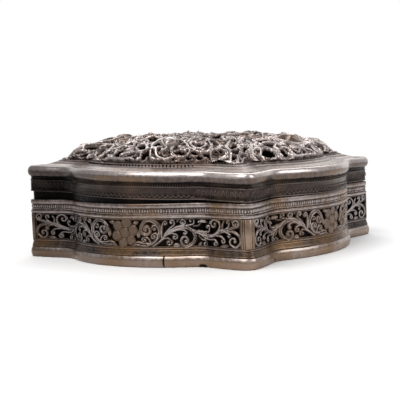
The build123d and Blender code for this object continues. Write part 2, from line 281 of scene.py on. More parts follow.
def cut_sheet(field, values, us, vs):
    """Cells of a grid where field is above 0, cut along its zero line.

    Gives (u, v) of the points, each value at them, the faces and the edges of the cut.
    """
    solid = field > 0
    count = int(solid.sum())
    corner = np.full(field.shape, -1)
    corner[solid] = np.arange(count)
    layers = [*np.meshgrid(us, vs, indexing="ij"), *values]
    found = [[layer[solid]] for layer in layers]

    def crossings(first, second, start):
        cut = solid[first] != solid[second]
        share = field[first][cut] / (field[first][cut] - field[second][cut])
        share = np.clip(share, 0.04, 0.96)
        for kept, layer in zip(found, layers):
            kept.append(layer[first][cut] * (1 - share) + layer[second][cut] * share)
        number = np.full(cut.shape, -1)
        number[cut] = start + np.arange(cut.sum())
        return number, start + int(cut.sum())

    on_u, count = crossings(np.s_[:-1, :], np.s_[1:, :], count)
    on_v, count = crossings(np.s_[:, :-1], np.s_[:, 1:], count)
    cell = (np.s_[:-1, :-1], np.s_[1:, :-1], np.s_[1:, 1:], np.s_[:-1, 1:])
    edges = [on_u[:, :-1], on_v[1:, :], on_u[:, 1:], on_v[:-1, :]]
    code = sum(solid[spot].astype(int) << k for k, spot in enumerate(cell))
    faces, rims = {}, []
    for case in range(1, 16):
        cells = code == case
        if not cells.any():
            continue
        line = []
        for k in range(4):
            if case >> k & 1:
                line.append((corner[cell[k]][cells], False))
            if (case >> k & 1) != (case >> (k + 1) % 4 & 1):
                line.append((edges[k][cells], True))
        faces.setdefault(len(line), []).append(np.stack([numbers for numbers, _ in line], 1))
        for (here, cut_here), (there, cut_there) in zip(line, line[1:] + line[:1]):
            if cut_here and cut_there:
                rims.append(np.stack([here, there], 1))
    flat = [np.concatenate(kept) for kept in found]
    return flat, [np.concatenate(group) for group in faces.values()], np.concatenate(rims)


def sheet_piece(name, field, lift, wear, us, vs, place, depth, finish, body, replaces):
    """Closed sheet cut from a grid: its chased face at lift and its plain back at depth below."""
    (u, v, lifts, wears), faces, rims = cut_sheet(field, [lift, wear], us, vs)
    count = len(u)
    points = np.concatenate([place(u, v, lifts), place(u, v, np.full(count, -depth))])
    sides = np.stack([rims[:, 1], rims[:, 0], rims[:, 0] + count, rims[:, 1] + count], 1)
    faces = faces + [group[:, ::-1] + count for group in faces] + [sides]
    wears = np.concatenate([wears, np.zeros(count)])
    piece = mesh_piece(name, points, faces, wears, finish, body, replaces)
    piece.data.set_sharp_from_angle(angle=SHARP_ANGLE)


def line_through(knots, per=8):
    """A smooth line through its knots, given as one run of numbers."""
    knots = np.reshape(knots, (-1, 2)).astype(float)
    ends = np.vstack([2 * knots[0] - knots[1], knots, 2 * knots[-1] - knots[-2]])
    share = np.linspace(0, 1, per, endpoint=False)[:, None]
    pieces = [0.5 * (2 * b + (c - a) * share + (2 * a - 5 * b + 4 * c - d) * share**2
                     + (3 * b - a - 3 * c + d) * share**3)
              for a, b, c, d in zip(ends[:-3], ends[1:-2], ends[2:-1], ends[3:])]
    return np.vstack(pieces + [knots[-1:]])


def curled(knots, eye, turns, widths):
    """A stroke: its line, ending in a curl about its eye, and its half width all along."""
    line = line_through(knots)
    if eye is not None:
        start = line[-1] - np.asarray(eye, float)
        steps = max(int(abs(turns) * CURL_STEPS), 6)
        share = np.linspace(0, 1, steps + 1)[1:]
        shrink = np.hypot(*start) * (1 - 0.80 * share)
        sweep = math.atan2(start[1], start[0]) + turns * 2 * math.pi * share
        curl = np.stack([eye[0] + shrink * np.cos(sweep), eye[1] + shrink * np.sin(sweep)], 1)
        line = np.vstack([line, curl])
    run = np.concatenate([[0], np.cumsum(np.hypot(*np.diff(line, axis=0).T))])
    run /= run[-1]
    width = np.interp(run, (0, 0.45, 1), widths)
    if eye is not None:
        width = width + 0.28 * np.exp(-(((run - 1) / 0.05) ** 2))
    return line, width


def rounded(edge):
    """Height across a plain ridge from its distance to the edge."""
    rise = np.clip(edge / 0.55, 0, 1)
    return rise * (2 - rise) * (0.86 + 0.14 * np.cos(2 * math.pi * (edge - 0.45) / 1.1))


def chased(edge):
    """Height across a stroke from its distance to the edge: a rounded ridge, then chased lines."""
    rise = np.clip(edge / 0.28, 0, 1)
    rise = rise * rise * (3 - 2 * rise)
    return rise * (0.66 + 0.34 * np.cos(2 * math.pi * (edge - 0.36) / 0.85))


class Chasing:
    """Gathers the strokes, discs and leaves of a pattern at a set of points."""

    def __init__(self, x, y):
        self.x = x
        self.y = y
        self.edge = np.full(x.shape, -9.0)
        self.lift = np.full(x.shape, -9.0)

    def add(self, spot, edge, lift):
        self.edge[spot] = np.maximum(self.edge[spot], edge)
        self.lift[spot] = np.maximum(self.lift[spot], np.where(edge > -0.1, lift, -9.0))

    def near(self, low, high, reach):
        return ((self.x > low[0] - reach) & (self.x < high[0] + reach)
                & (self.y > low[1] - reach) & (self.y < high[1] + reach))

    def away(self, spot, centre):
        return np.hypot(self.x[spot] - centre[0], self.y[spot] - centre[1])

    def stroke(self, line, width, section, height=1.0):
        spot = self.near(line.min(0), line.max(0), width.max() + 0.6)
        if not spot.any():
            return
        x, y = self.x[spot], self.y[spot]
        best = np.full(x.shape, -9.0)
        for a, b, wa, wb in zip(line[:-1], line[1:], width[:-1], width[1:]):
            step = b - a
            length = step @ step
            if length < 1e-9:
                continue
            share = np.clip(((x - a[0]) * step[0] + (y - a[1]) * step[1]) / length, 0, 1)
            away = np.hypot(x - a[0] - share * step[0], y - a[1] - share * step[1])
            best = np.maximum(best, wa + (wb - wa) * share - away)
        self.add(spot, best, height * section(best))

    def disc(self, centre, radius, height=1.0, rim=0.45):
        spot = self.near(centre, centre, radius + 0.6)
        away = self.away(spot, centre)
        edge = radius - away
        ridge = 0.9 * np.exp(-(((edge - rim) / 0.22) ** 2))
        dome = 0.34 + 0.14 * (1 - (away / radius) ** 2)
        self.add(spot, edge, height * np.clip(edge / 0.25, 0, 1) * np.maximum(ridge, dome))

    def ball(self, centre, radius):
        spot = self.near(centre, centre, radius + 0.3)
        away = self.away(spot, centre)
        round_top = np.sqrt(np.clip(1 - (away / radius) ** 2, 0, 1))
        self.add(spot, radius - away, 0.35 + 0.85 * round_top)

    def leaf(self, base, tip, width):
        base, tip = np.asarray(base, float), np.asarray(tip, float)
        span = tip - base
        length = np.hypot(*span)
        way = span / length
        spot = self.near(np.minimum(base, tip), np.maximum(base, tip), width + 0.6)
        along = (self.x[spot] - base[0]) * way[0] + (self.y[spot] - base[1]) * way[1]
        across = (self.y[spot] - base[1]) * way[0] - (self.x[spot] - base[0]) * way[1]
        half = width * np.sin(math.pi * np.clip(along / length, 0, 1) ** 0.8) ** 0.8
        edge = half - np.abs(across) - np.maximum(np.maximum(-along, along - length), 0)
        vein = 1 - 0.55 * np.exp(-((across / 0.22) ** 2))
        self.add(spot, edge, np.clip(edge / 0.3, 0, 1) * vein * 0.95)


# ---- the walls' scrollwork, along the wall and above its foot

PANEL_HALF = 71.6
PANEL_HIGH = 15.0
WALL_SHEET = 0.85
WALL_BORDER = 0.55
WALL_END_BORDER = 0.9
ROSETTE_AT = 4.9
ROSETTE_CENTRES = (4.9, -3.5, 0.0, 0.0)  # along the front, right, back and left walls
ROSETTE_HIGH = 7.5
PETAL_REACH = 5.4
PETAL_RADIUS = 2.72

# Each stroke: its knots, the eye of its end curl, the curl's turns, and its half widths.
WALL_STROKES = (
    ((11.2, 1.5, 15, 1.2, 19, 1.8, 22.6, 4.2, 24.6, 8, 23.8, 11.7, 20.6, 13.7, 17.2, 13.3, 15, 11),
     (17.5, 9.4), 1.15, (0.45, 1.15, 0.5)),
    ((24.2, 7, 24, 9.6, 22.8, 11.4, 21.2, 11.3), (21.7, 10), 0.6, (0.5, 0.45, 0.35)),
    ((20.4, 2, 22.6, 3.6, 23.4, 6, 22.3, 7.5, 20.5, 7.2), (21.2, 5.9), 0.9, (0.55, 0.5, 0.4)),
    ((19.6, 2.2, 18.9, 4.4, 17.3, 5.7, 15.5, 5.2), (16.4, 4.2), 0.8, (0.5, 0.45, 0.35)),
    ((11, 2.2, 13.2, 2.9, 15.5, 2.4, 19, 2.3), None, 0, (0.5, 0.5, 0.5)),
    ((20.8, 0.9, 24.4, 2.8, 27.6, 6.2, 30.8, 9, 34.2, 10.4, 38.4, 10.3, 41.6, 8.4, 42.9, 5.4, 42,
      2.6, 39.6, 1), (37.9, 3.5), -1.1, (0.5, 1.1, 0.5)),
    ((29.6, 8.2, 33, 10.6, 36, 11.3, 38, 12.2, 38, 13.6), (36.5, 12.9), 0.8, (0.6, 0.5, 0.4)),
    ((26.2, 4.6, 28.6, 6.8, 31.2, 7.7, 33.5, 6.9), (32.5, 5.6), -0.9, (0.6, 0.5, 0.4)),
    ((30.5, 8, 34, 9.3, 37.2, 8.8, 38.6, 7.6), (37.6, 7.2), -0.4, (0.6, 0.6, 0.5)),
    ((25, 3.2, 27, 4.6, 29.2, 4.9, 30.9, 3.6), (29.4, 2.8), -0.9, (0.5, 0.45, 0.35)),
    ((25.6, 5.4, 25.8, 9, 26.2, 12, 27.2, 13.6, 28.4, 13), (27.6, 12.4), -0.5, (0.55, 0.45, 0.35)),
    ((27.4, 7, 30, 9.9, 32.2, 12, 32.1, 13.7), (30.9, 13.1), 0.7, (0.5, 0.45, 0.4)),
    ((35, 10.8, 39.5, 11.3, 42.4, 12.2, 42.9, 13.9), (41.3, 13.5), 0.6, (0.5, 0.45, 0.35)),
    ((41, 9.4, 44.6, 7.4, 48, 6.4, 52.5, 6.2, 56, 7.4, 59, 9), None, 0, (0.7, 0.9, 0.7)),
    ((52, 6.2, 56, 7.6, 58.1, 10, 58, 12.6, 55.8, 14.2), (54.6, 12), 0.9, (0.6, 0.6, 0.45)),
    ((50, 5.4, 55, 6.4, 59, 8.2, 63, 9.8, 66.5, 10.6, 69.5, 11.3, 70.6, 13), (68.4, 12.6), 0.9,
     (0.8, 0.8, 0.4)),
    ((60, 8.6, 64, 8.9, 67.8, 8.2, 70.2, 6, 70.4, 3.2, 68.2, 1.1), (66.8, 3.8), -0.9,
     (0.7, 0.7, 0.45)),
    ((61, 8.8, 63.4, 8, 65, 7.2), (64.2, 6.6), -0.6, (0.4, 0.4, 0.4)),
    ((60, 9.2, 59.9, 11.6, 61, 13.6), None, 0, (0.5, 0.5, 0.3)),
    ((62, 9.8, 63.9, 11.2, 64.6, 13), (63.4, 13.1), 0.6, (0.45, 0.45, 0.4)),
    ((44.8, 8.4, 48, 7.8, 51, 8.2, 51.8, 9.8), (50.4, 10.2), 0.5, (0.6, 0.6, 0.5)),
    ((42, 11, 45, 11.4, 46.8, 12.6), (45.8, 13), 0.5, (0.4, 0.4, 0.4)),
    ((46, 6.4, 48.6, 4.6, 52, 4.2, 55, 4.2, 57, 2.6), (55.6, 2.4), -0.8, (0.55, 0.5, 0.4)),
    ((45, 5.6, 46.6, 3.8, 48.6, 3.6, 50, 2.2), (48.6, 1.9), -0.7, (0.4, 0.4, 0.4)),
    ((56.5, 6.2, 59.5, 6, 61.6, 4.6), (60.4, 4), -0.7, (0.5, 0.5, 0.45)),
)
# Each leaf: its base, its tip and its half width.
WALL_LEAVES = (
    ((13.5, 5.2), (13.5, 9.6), 0.95), ((46, 13.9), (50.4, 12.5), 0.8),
    ((58.5, 0.9), (64, 1.7), 0.9), ((44.2, 0.6), (46.8, 2.6), 0.7),
    ((51.4, 11.6), (53.2, 14.2), 0.7), ((9.8, 12.6), (13.6, 13.4), 0.9),
    ((33.4, 13.2), (34.6, 14.6), 0.5), ((31.4, 1.2), (35.4, 1.4), 1.1),
    ((65.8, 13.4), (67, 14.6), 0.5), ((9.4, 0.9), (12.4, 1.4), 0.6),
)


def wall_chasing(turn, u, v):
    """Edge distance and height of one wall's scrolls at points along it and above its foot."""
    centre = ROSETTE_CENTRES[turn]
    spots = np.stack([u, v, np.full(u.shape, 9.0 * turn)], -1).reshape(-1, 3)
    u = u + 0.30 * uneven(spots, 31 + turn, 17.0).reshape(u.shape)
    v = v + 0.22 * uneven(spots, 41 + turn, 14.0).reshape(u.shape)
    away = u - centre
    far = np.where(away > 0, PANEL_HALF - centre, PANEL_HALF + centre)
    pattern = Chasing(ROSETTE_AT + np.abs(away) * (PANEL_HALF - ROSETTE_AT) / far, v)
    for stroke in WALL_STROKES:
        pattern.stroke(*curled(*stroke), chased)
    for leaf in WALL_LEAVES:
        pattern.leaf(*leaf)
    rosette = Chasing(away, v - ROSETTE_HIGH)
    rosette.disc((0, 0), 5.9, 0.25, 0.3)
    for k in range(6):
        angle = math.radians(17 + 60 * k)
        rosette.disc((PETAL_REACH * math.cos(angle), PETAL_REACH * math.sin(angle)), PETAL_RADIUS)
    rosette.disc((0, 0), PETAL_RADIUS)
    edge = np.maximum(pattern.edge, rosette.edge)
    return edge, np.maximum(np.where(rosette.edge > -0.2, -9.0, pattern.lift), rosette.lift)


def wall_place(turn, depth):
    """Place of wall points: along the wall, above its foot, and a height in shares of depth."""
    lengths = side_lengths(WALL_INSET)

    def place(u, v, lift):
        height = np.where(lift < 0, lift, lift * depth)
        along, out = plan_side(WALL_INSET + depth - height, station_of(u, lengths))
        return np.stack([*turned(along, out, turn), PANEL_FOOT + v], -1)

    return place


# ---- materials


def node(tree, kind, inputs=(), **settings):
    """A new node with its settings, and its inputs, by name or number, set or linked."""
    made = tree.nodes.new(kind)
    for name, value in settings.items():
        setattr(made, name, value)
    return fed(tree, made, dict(inputs))


def fed(tree, made, inputs):
    """A node with its inputs linked to the sockets and set to the values given."""
    for key, value in inputs.items():
        if isinstance(value, bpy.types.NodeSocket):
            tree.links.new(value, made.inputs[key])
        else:
            made.inputs[key].default_value = value
    return made


def noise(tree, at, scale, detail, rough=0.55):
    inputs = {"Vector": at, "Scale": scale, "Detail": detail, "Roughness": rough}
    return node(tree, "ShaderNodeTexNoise", inputs).outputs["Fac"]


def mixed(tree, share, first, second):
    inputs = {0: share, 6: first, 7: second}
    return node(tree, "ShaderNodeMix", inputs, data_type="RGBA").outputs[2]


def ranged(tree, value, low, high, to_low=0.0, to_high=1.0):
    limits = {"From Min": low, "From Max": high, "To Min": to_low, "To Max": to_high}
    return node(tree, "ShaderNodeMapRange", {"Value": value, **limits},
                interpolation_type="SMOOTHSTEP").outputs[0]


def maths(tree, operation, first, second):
    return node(tree, "ShaderNodeMath", {0: first, 1: second}, operation=operation).outputs[0]


def vector(tree, operation, first, second=None):
    """Outputs of a vector node; a scale takes its factor from its own input."""
    inputs = {0: first}
    if second is not None:
        inputs["Scale" if operation == "SCALE" else 1] = second
    return node(tree, "ShaderNodeVectorMath", inputs, operation=operation).outputs


# Nicks in the foot roll, painted in the recess tone with no dent: painted shade and grime of a
# crack and chips. Their places in millimetres, and how narrow each is along each axis.
FOOT_NICKS = (
    ((26.8, -81.0, 3.4), (2.6, 0.3, 0.36)),
    ((45.2, -72.4, 0.7), (0.55, 0.4, 1.1)),
    ((71.4, -47.8, 1.6), (0.7, 0.7, 1.6)),
)
# Each finish: its tones in recesses, on the sheet, where rubbed and where tarnished, the share of
# tarnish, the range of roughness, the wear added all over, the painted shade from left to right,
# pitting.
FINISHES = {
    "chased_silver": ("recess body bright brown", 0.5, (0.26, 0.48), 0.0, (0.33, 0.92), 0.12),
    "dome_silver": ("recess body bright brown", 0.15, (0.24, 0.42), 0.0, (0.85, 1.2), 0.12),
    "roll_silver": ("recess body bright brown", 0.5, (0.26, 0.33), 0.0, (0.44, 1.15), 0.015),
    "flange_silver": ("recess body bright brown", 0.25, (0.3, 0.42), -0.05, (1.05, 1.15), 0.03),
    "base_silver": ("recess golden bright brown", 0.7, (0.26, 0.4), -0.05, (0.5, 1.2), 0.04),
    "skirt_silver": ("recess darker body brown", 0.15, (0.3, 0.5), -0.05, (0.12, 1.25), 0.12),
    "band_silver": ("recess body bright brown", 0.8, (0.26, 0.48), 0.0, (0.64, 1.18), 0.12),
    "bottom_silver": ("body body body brown", 0.5, (0.35, 0.5), 0.5, (1.0, 1.0), 0.12),
    # Near-black: painted shade behind the pierced walls and in the flange's punched dents.
    "painted_shade_silver": ("black soot grey umber", 0.5, (0.45, 0.65), -0.1, (0.5, 1.1), 0.12),
    "tray_silver": ("body golden bright brown", 0.3, (0.3, 0.45), 0.62, (1.0, 1.0), 0.12),
}


def finish_of(name):
    """The finish of that name, made on its first use."""
    if name in bpy.data.materials:
        return bpy.data.materials[name]
    props = bpy.context.scene.paan_box
    tones = {key: getattr(props, "silver_" + key) for key in ("recess", "body", "bright", "brown")}
    red, green, blue = tones["body"]
    tones.update(
        darker=(0.5 * red, 0.5 * green, 0.5 * blue), golden=(1.7 * red, 1.6 * green, 1.4 * blue),
        black=(0.006, 0.005, 0.005), soot=(0.02, 0.017, 0.015), grey=(0.05, 0.045, 0.04),
        umber=(0.02, 0.014, 0.01))
    colours, *rest = FINISHES[name]
    colours = [(*tones[key], 1) for key in colours.split()]
    return silver(name, *colours, *rest, FOOT_NICKS if name == "base_silver" else ())


def silver(name, recess, body, bright, brown, brown_share, rough, worn, painted_side_shade, pitting, nicks):
    """Old silver: dark in its recesses, brown with tarnish in patches, bright where rubbed,
    and darker towards the left end of the box by painted shade.
    """
    material = bpy.data.materials.new(name)
    material.use_nodes = True
    tree = material.node_tree
    at = node(tree, "ShaderNodeTexCoord").outputs["Object"]
    wear = node(tree, "ShaderNodeAttribute", attribute_name="wear").outputs["Fac"]
    patches = noise(tree, at, 38, 4)
    specks = noise(tree, at, 420, 3, 0.6)
    grain = noise(tree, at, 1900, 2, 0.5)
    rubbed = maths(tree, "ADD", wear, worn)
    rubbed = maths(tree, "ADD", rubbed, ranged(tree, specks, 0.3, 0.7, -0.07, 0.07))
    low = mixed(tree, ranged(tree, rubbed, 0.02, 0.5), recess, body)
    brownish = maths(tree, "MULTIPLY", ranged(tree, patches, 0.42, 0.66), brown_share)
    low = mixed(tree, brownish, low, brown)
    polish = maths(tree, "ADD", rubbed, ranged(tree, patches, 0.3, 0.7, 0.12, -0.12))
    colour = mixed(tree, ranged(tree, polish, 0.55, 1.05), low, bright)
    # Painted shade and grime of the foot roll's nicks, in the recess tone.
    for spot, narrow in nicks:
        off = vector(tree, "SUBTRACT", at, [value * MM for value in spot])[0]
        far = vector(tree, "LENGTH", vector(tree, "MULTIPLY", off, narrow)[0])["Value"]
        colour = mixed(tree, ranged(tree, far, 0.0009, 0.0017), recess, colour)
    # Painted shade: the silver is darker towards the left end of the box, where less light falls.
    across = vector(tree, "DOT_PRODUCT", at, (1.0, -0.25, 0.0))["Value"]
    across = maths(tree, "ADD", across, ranged(tree, patches, 0.3, 0.7, -0.02, 0.02))
    tone = ranged(tree, across, -0.08, 0.09, *painted_side_shade)
    height = maths(tree, "ADD", specks, maths(tree, "MULTIPLY", grain, 0.35))
    bump = node(tree, "ShaderNodeBump",
                {"Strength": pitting, "Distance": 0.4 * MM, "Height": height})
    fed(tree, tree.nodes["Principled BSDF"], {
        "Metallic": 1.0, "Base Color": vector(tree, "SCALE", colour, tone)[0],
        "Roughness": ranged(tree, specks, 0.35, 0.7, *rough), "Normal": bump.outputs["Normal"]})
    return material


# ---- the dome's scrollwork, one quarter on a round disc

DOME_DISC = 70.0
DOME_RISE = 12.6
DOME_CORNER = 80.5  # the raised dome's reach towards the corners, where it keeps short of them
DOME_SHEET = 1.9
BOSS_TURN = -77.0
BOSS_LEAN = math.radians(13)
BOSS_LONG = 7.2
BOSS_WIDE = 4.7
BOSS_REACH = 0.735  # share of the way from the middle to the dome's border
BOSS_CLEARED = (0.71 * DOME_DISC, 5.0)  # where no curl is packed: its reach out and its radius
CURL_TRIES = 2600
CURL_SEED = 71
CURL_TURNS = 1.35
FOOT_REACH = 67.5  # no packed curl reaches past this
FOOT_ROW = 67.3  # where the small openings round the foot lie
LEAST_CURL = 2.3
MOST_CURL = 5.2
QUARTERS = (-math.pi / 2, 0, math.pi / 2)  # turns at which the quarter's pattern repeats

# Openings: across a boss's axis, out from the middle, length, width and tilt; ribbed ones first.
DOME_RIBBED = (
    (-6.0, 50.0, 13.0, 5.6, 8), (8.6, 51.0, 10.5, 4.6, -16), (-13.0, 56.5, 8.0, 4.6, 30),
    (18.5, 52.5, 7.0, 4.6, 60), (31.0, 47.5, 11.0, 5.0, -30), (39.5, 47.5, 8.5, 5.0, -34),
    (-41.0, 51.5, 8.5, 5.2, 50), (-28.5, 43.0, 9.0, 5.0, 34),
)
DOME_OPENINGS = (
    (-1.5, 60.5, 6.0, 4.4, 20), (9.8, 62.8, 5.6, 4.0, 90), (-7.6, 64.6, 5.4, 3.6, 70),
    (17.5, 61.0, 5.4, 3.4, 76), (-26.0, 59.5, 5.6, 4.0, 110), (-34.8, 57.0, 6.4, 4.4, 120),
    (25.0, 50.5, 8.0, 4.0, -20), (-20.5, 50.0, 6.6, 4.2, 30), (14.5, 42.5, 7.0, 4.2, 70),
    (-13.0, 42.0, 7.4, 4.2, 30), (-4.0, 36.0, 7.4, 4.0, -30), (6.0, 34.5, 7.4, 4.0, 40),
    (22.0, 39.0, 8.0, 4.2, -30), (-21.0, 34.5, 8.0, 4.2, 40), (16.5, 28.5, 8.0, 4.2, -20),
    (0.0, 23.5, 8.0, 4.2, 0), (-12.5, 24.5, 8.0, 4.2, 20), (4.2, 10.2, 8.6, 4.0, -22),
    (-4.2, 10.2, 8.6, 4.0, 22), (0.8, 66.6, 4.2, 2.2, 90), (7.5, 68.2, 5.0, 1.8, 90),
    (24.0, 61.0, 4.4, 2.6, 70), (27.6, 64.0, 4.0, 2.2, 66), (27.4, 55.4, 4.0, 2.8, -20),
    (34.6, 56.2, 5.0, 2.8, 50), (36.8, 60.2, 4.6, 2.0, 62), (-17.0, 62.8, 4.6, 2.6, 100),
    (-3.4, 56.4, 2.6, 1.8, 0), (14.4, 57.6, 3.4, 1.8, 60), (-43.4, 45.4, 4.6, 3.2, 40),
    (-47.6, 48.4, 4.6, 3.2, 50), (-31.0, 53.0, 3.6, 2.2, 60), (30.6, 36.6, 5.0, 3.0, -30),
    (-34.6, 38.0, 5.4, 3.0, 40), (33.4, 60.8, 3.4, 2.2, 60), (-24.4, 54.4, 3.6, 2.2, 70),
    (-38.6, 59.6, 4.4, 1.9, 124),
)
# A row of small openings round the dome's foot.
FOOT_OPENINGS = tuple(
    (FOOT_ROW * math.sin(math.radians(a)), FOOT_ROW * math.cos(math.radians(a)), 3.4, 1.9, a + 72)
    for a in range(-42, 44, 5))
# Chased strokes on the sheet: their knots and half widths.
DOME_STROKES = (
    ((4, 56, 5, 60, 6.5, 64.5), (0.7, 0.9, 0.9)),
    ((6.5, 64.5, 8.5, 66.7, 11, 66.7, 13.2, 65.5, 14.5, 63, 14, 60, 11.5, 58.4, 9.6, 59.6, 10.2,
      61.4, 12, 61.6), (0.8, 0.8, 0.5)),
    ((6.5, 64.5, 6.3, 67, 4, 68, 1, 67.6, -1.2, 66, -2.6, 62.8, -2.5, 59, -0.5, 57.6, 1.9, 59.6,
      3, 62.3, 1.3, 63.4), (0.8, 0.8, 0.5)),
    ((-6.5, 35.5, -2.5, 38.5, 2, 41.5, 6, 46.4, 9.4, 51.6, 12, 55.5, 15, 58, 19, 60.2, 22.2, 59.6,
      24, 56.5, 24, 52, 22, 47), (0.6, 0.9, 0.7)),
    ((23.5, 59, 23.3, 54, 21.5, 47.6, 18, 43.6, 14, 42, 11, 43.6, 10.4, 47.5, 12, 52.4, 15, 55.3,
      17.8, 55.6, 19.6, 53.6, 19.6, 50.6, 17.5, 49), (0.6, 1.0, 0.6)),
    ((11, 47, 12.6, 48.6, 14, 50), (0.5, 0.6, 0.9)),
    ((-6.5, 35.5, -8.4, 38.6, -9.4, 43, -9.6, 48, -8.8, 53, -7, 58, -5, 61, -2.5, 63),
     (0.6, 0.9, 0.6)),
    ((-9.8, 48.5, -11.4, 52, -10, 57.4, -7.6, 60.6, -5.4, 61.6, -3.6, 62.6), (0.6, 0.7, 0.6)),
    ((-5.5, 62, -5.2, 65, -4, 67.2, -1, 68.6, 1.5, 69), (0.6, 0.6, 0.5)),
    ((-17.5, 51.5, -15.6, 56.6, -12.5, 60.6, -9.9, 60, -11, 55, -14.6, 50.5, -16.6, 50.8, -15, 53),
     (0.7, 0.9, 0.6)),
    ((-30, 45, -26, 50.5, -22.5, 53.6, -20.2, 51.5, -22, 46.4, -24.5, 45.4), (0.7, 1.0, 0.6)),
    ((-23, 61.6, -19.5, 60.6, -15, 60.6, -11.4, 63, -9.8, 66.6, -11.4, 68), (0.7, 0.9, 0.6)),
    ((-31, 60.6, -27, 62.8, -22, 64.8, -16.6, 66.4, -13.4, 67.8), (0.6, 0.8, 0.6)),
    ((28.8, 64, 25.8, 60.6, 24.8, 56.4, 26.6, 51.6, 25.6, 46.4, 21.6, 43.6, 18.4, 45.6, 19.0,
      48.6), (1.1, 1.0, 0.6)),
    ((30.4, 62.8, 31.6, 58.4, 30.2, 54.2, 27.6, 52.8, 26.4, 55.0, 28.2, 56.4), (0.9, 1.0, 0.5)),
    ((34, 59, 33, 56, 31.5, 53.4, 29, 49.5, 27.4, 44, 28, 39.6, 30.6, 38.6, 32.4, 41.6, 31.4,
      44.2), (0.6, 0.9, 0.55)),
    ((37, 52.6, 40, 50.8, 42.2, 47, 41, 43.4, 38.4, 42, 36.6, 44.2, 38, 46), (0.6, 0.8, 0.55)),
    ((34.2, 61, 36.2, 56.4, 35.4, 51.6, 33.2, 48.2, 33.6, 44.6, 36, 43.4), (0.9, 1.1, 0.6)),
    ((32.5, 61.4, 34, 59.4, 36, 58, 38.6, 56.8, 40.6, 54.4, 41.6, 51.6), (0.6, 0.7, 0.5)),
    ((47.6, 51.6, 44.6, 51.4, 43.6, 47.4, 45, 43.6, 42.6, 39.6, 39, 39.6, 38.4, 42.4),
     (0.8, 1.1, 0.6)),
    ((-37, 39, -41.5, 42, -46, 43.8, -48, 46, -46.4, 48.4, -43, 47.6, -43.4, 45.8),
     (0.6, 0.8, 0.5)),
    ((-49, 45, -50.6, 47.5, -49.4, 50, -46.6, 50.6, -46, 49), (0.6, 0.7, 0.5)),
    ((-37, 45.4, -36.4, 47.6, -35.6, 50, -38, 53.4, -42, 55.4, -45, 53.8), (0.6, 0.9, 0.6)),
    ((-20.5, 47, -25, 49.4, -30, 51, -34.5, 52.4, -39, 56), (0.7, 0.9, 0.7)),
    ((-31.5, 51, -35, 54.6, -38.8, 55.6, -39.2, 58.4, -36.8, 60.4, -33, 61.2, -29, 61.2),
     (0.6, 0.8, 0.5)),
    ((-33.5, 53.6, -36.4, 55, -36.6, 57), (0.5, 0.6, 0.5)),
    ((-30.6, 55, -28, 57, -28.6, 60, -31.5, 60.2, -32, 58.6), (0.6, 0.7, 0.5)),
    ((-19.5, 47.6, -24.6, 48.8, -26.6, 51.6, -23.4, 53.8), (0.6, 0.7, 0.5)),
    ((-30, 38.6, -26.5, 40, -20, 41, -14.6, 39), (0.6, 0.8, 0.5)),
    ((-33, 46, -31, 41, -27, 38, -23, 38.8, -22.6, 42), (0.6, 0.8, 0.5)),
)
DOME_BALLS = (
    (1.5, 63.4), (12, 61.6), (8.6, 57.6), (-3.6, 62.8), (14.2, 50.2), (-14.6, 52.6), (-24.5, 46),
    (20.2, 51.2), (31.4, 44.2), (33.4, 50), (37.6, 44.6), (34.4, 59.8), (-43.6, 46), (-46, 50),
    (-36.8, 56.2), (-32.2, 59), (-10.8, 67.6), (-22, 43.6), (19, 41.4), (-8, 37.2), (8.4, 38),
    (17.6, 23.6), (-26, 33), (21, 28.4), (30, 39.6), (-8.6, 21.6), (8.6, 21.6), (-14.6, 39),
    (-24, 53.8), (41.6, 51.4), (-29, 61.2),
)


def opening_axes(x, y, opening):
    """Distances of points along and beside an opening's long axis, and its half sizes."""
    across, out, length, width, tilt = opening
    turn = math.radians(tilt)
    along = (x - across) * math.sin(turn) + (y - out) * math.cos(turn)
    aside = (x - across) * math.cos(turn) - (y - out) * math.sin(turn)
    return np.abs(along), np.abs(aside), length / 2, width / 2


def opening_away(x, y, opening):
    """Distance of points from an opening, none inside it."""
    along, aside, length, width = opening_axes(x, y, opening)
    half = width * (1 - np.clip(along / length, 0, 1) ** 2)
    return np.hypot(np.maximum(along - length, 0), np.maximum(aside - half, 0))


def opening_edge(x, y, opening):
    """Distance of points outside a pointed opening; negative inside it."""
    along, aside, length, width = opening_axes(x, y, opening)
    bowed = aside - width * (1 - np.clip(along / length, 0, 1) ** 2.2)
    return np.where(along > length, np.hypot(along - length, aside), bowed * 0.85)


def packed_curls(seed):
    """Places and sizes of small curls in what openings and strokes leave of a quarter."""
    rng = np.random.default_rng(seed)
    reach = 5.0 + 61.0 * np.sqrt(rng.uniform(0, 1, CURL_TRIES))
    angle = rng.uniform(-math.pi / 4, math.pi / 4, CURL_TRIES)
    x, y = reach * np.sin(angle), reach * np.cos(angle)
    room = np.minimum(np.full(CURL_TRIES, MOST_CURL), FOOT_REACH - reach)
    for extra in QUARTERS:
        here_x = reach * np.sin(angle + extra)
        here_y = reach * np.cos(angle + extra)
        for opening in DOME_RIBBED + DOME_OPENINGS:
            room = np.minimum(room, opening_away(here_x, here_y, opening) - 0.5)
        for knots, _ in DOME_STROKES:
            for spot in line_through(knots, 4):
                room = np.minimum(room, np.hypot(here_x - spot[0], here_y - spot[1]) - 0.2)
        room = np.minimum(room, np.hypot(here_x, here_y - BOSS_CLEARED[0]) - BOSS_CLEARED[1])
    kept = []
    for k in np.argsort(-room):
        size = room[k]
        for other_x, other_y, other in kept:
            for c, d in ((1, 0), (0, 1), (0, -1)):
                far = math.hypot(x[k] - c * other_x + d * other_y,
                                 y[k] - d * other_x - c * other_y)
                size = min(size, far - other + 0.25)
        if size > LEAST_CURL:
            kept.append((x[k], y[k], size))
    return kept


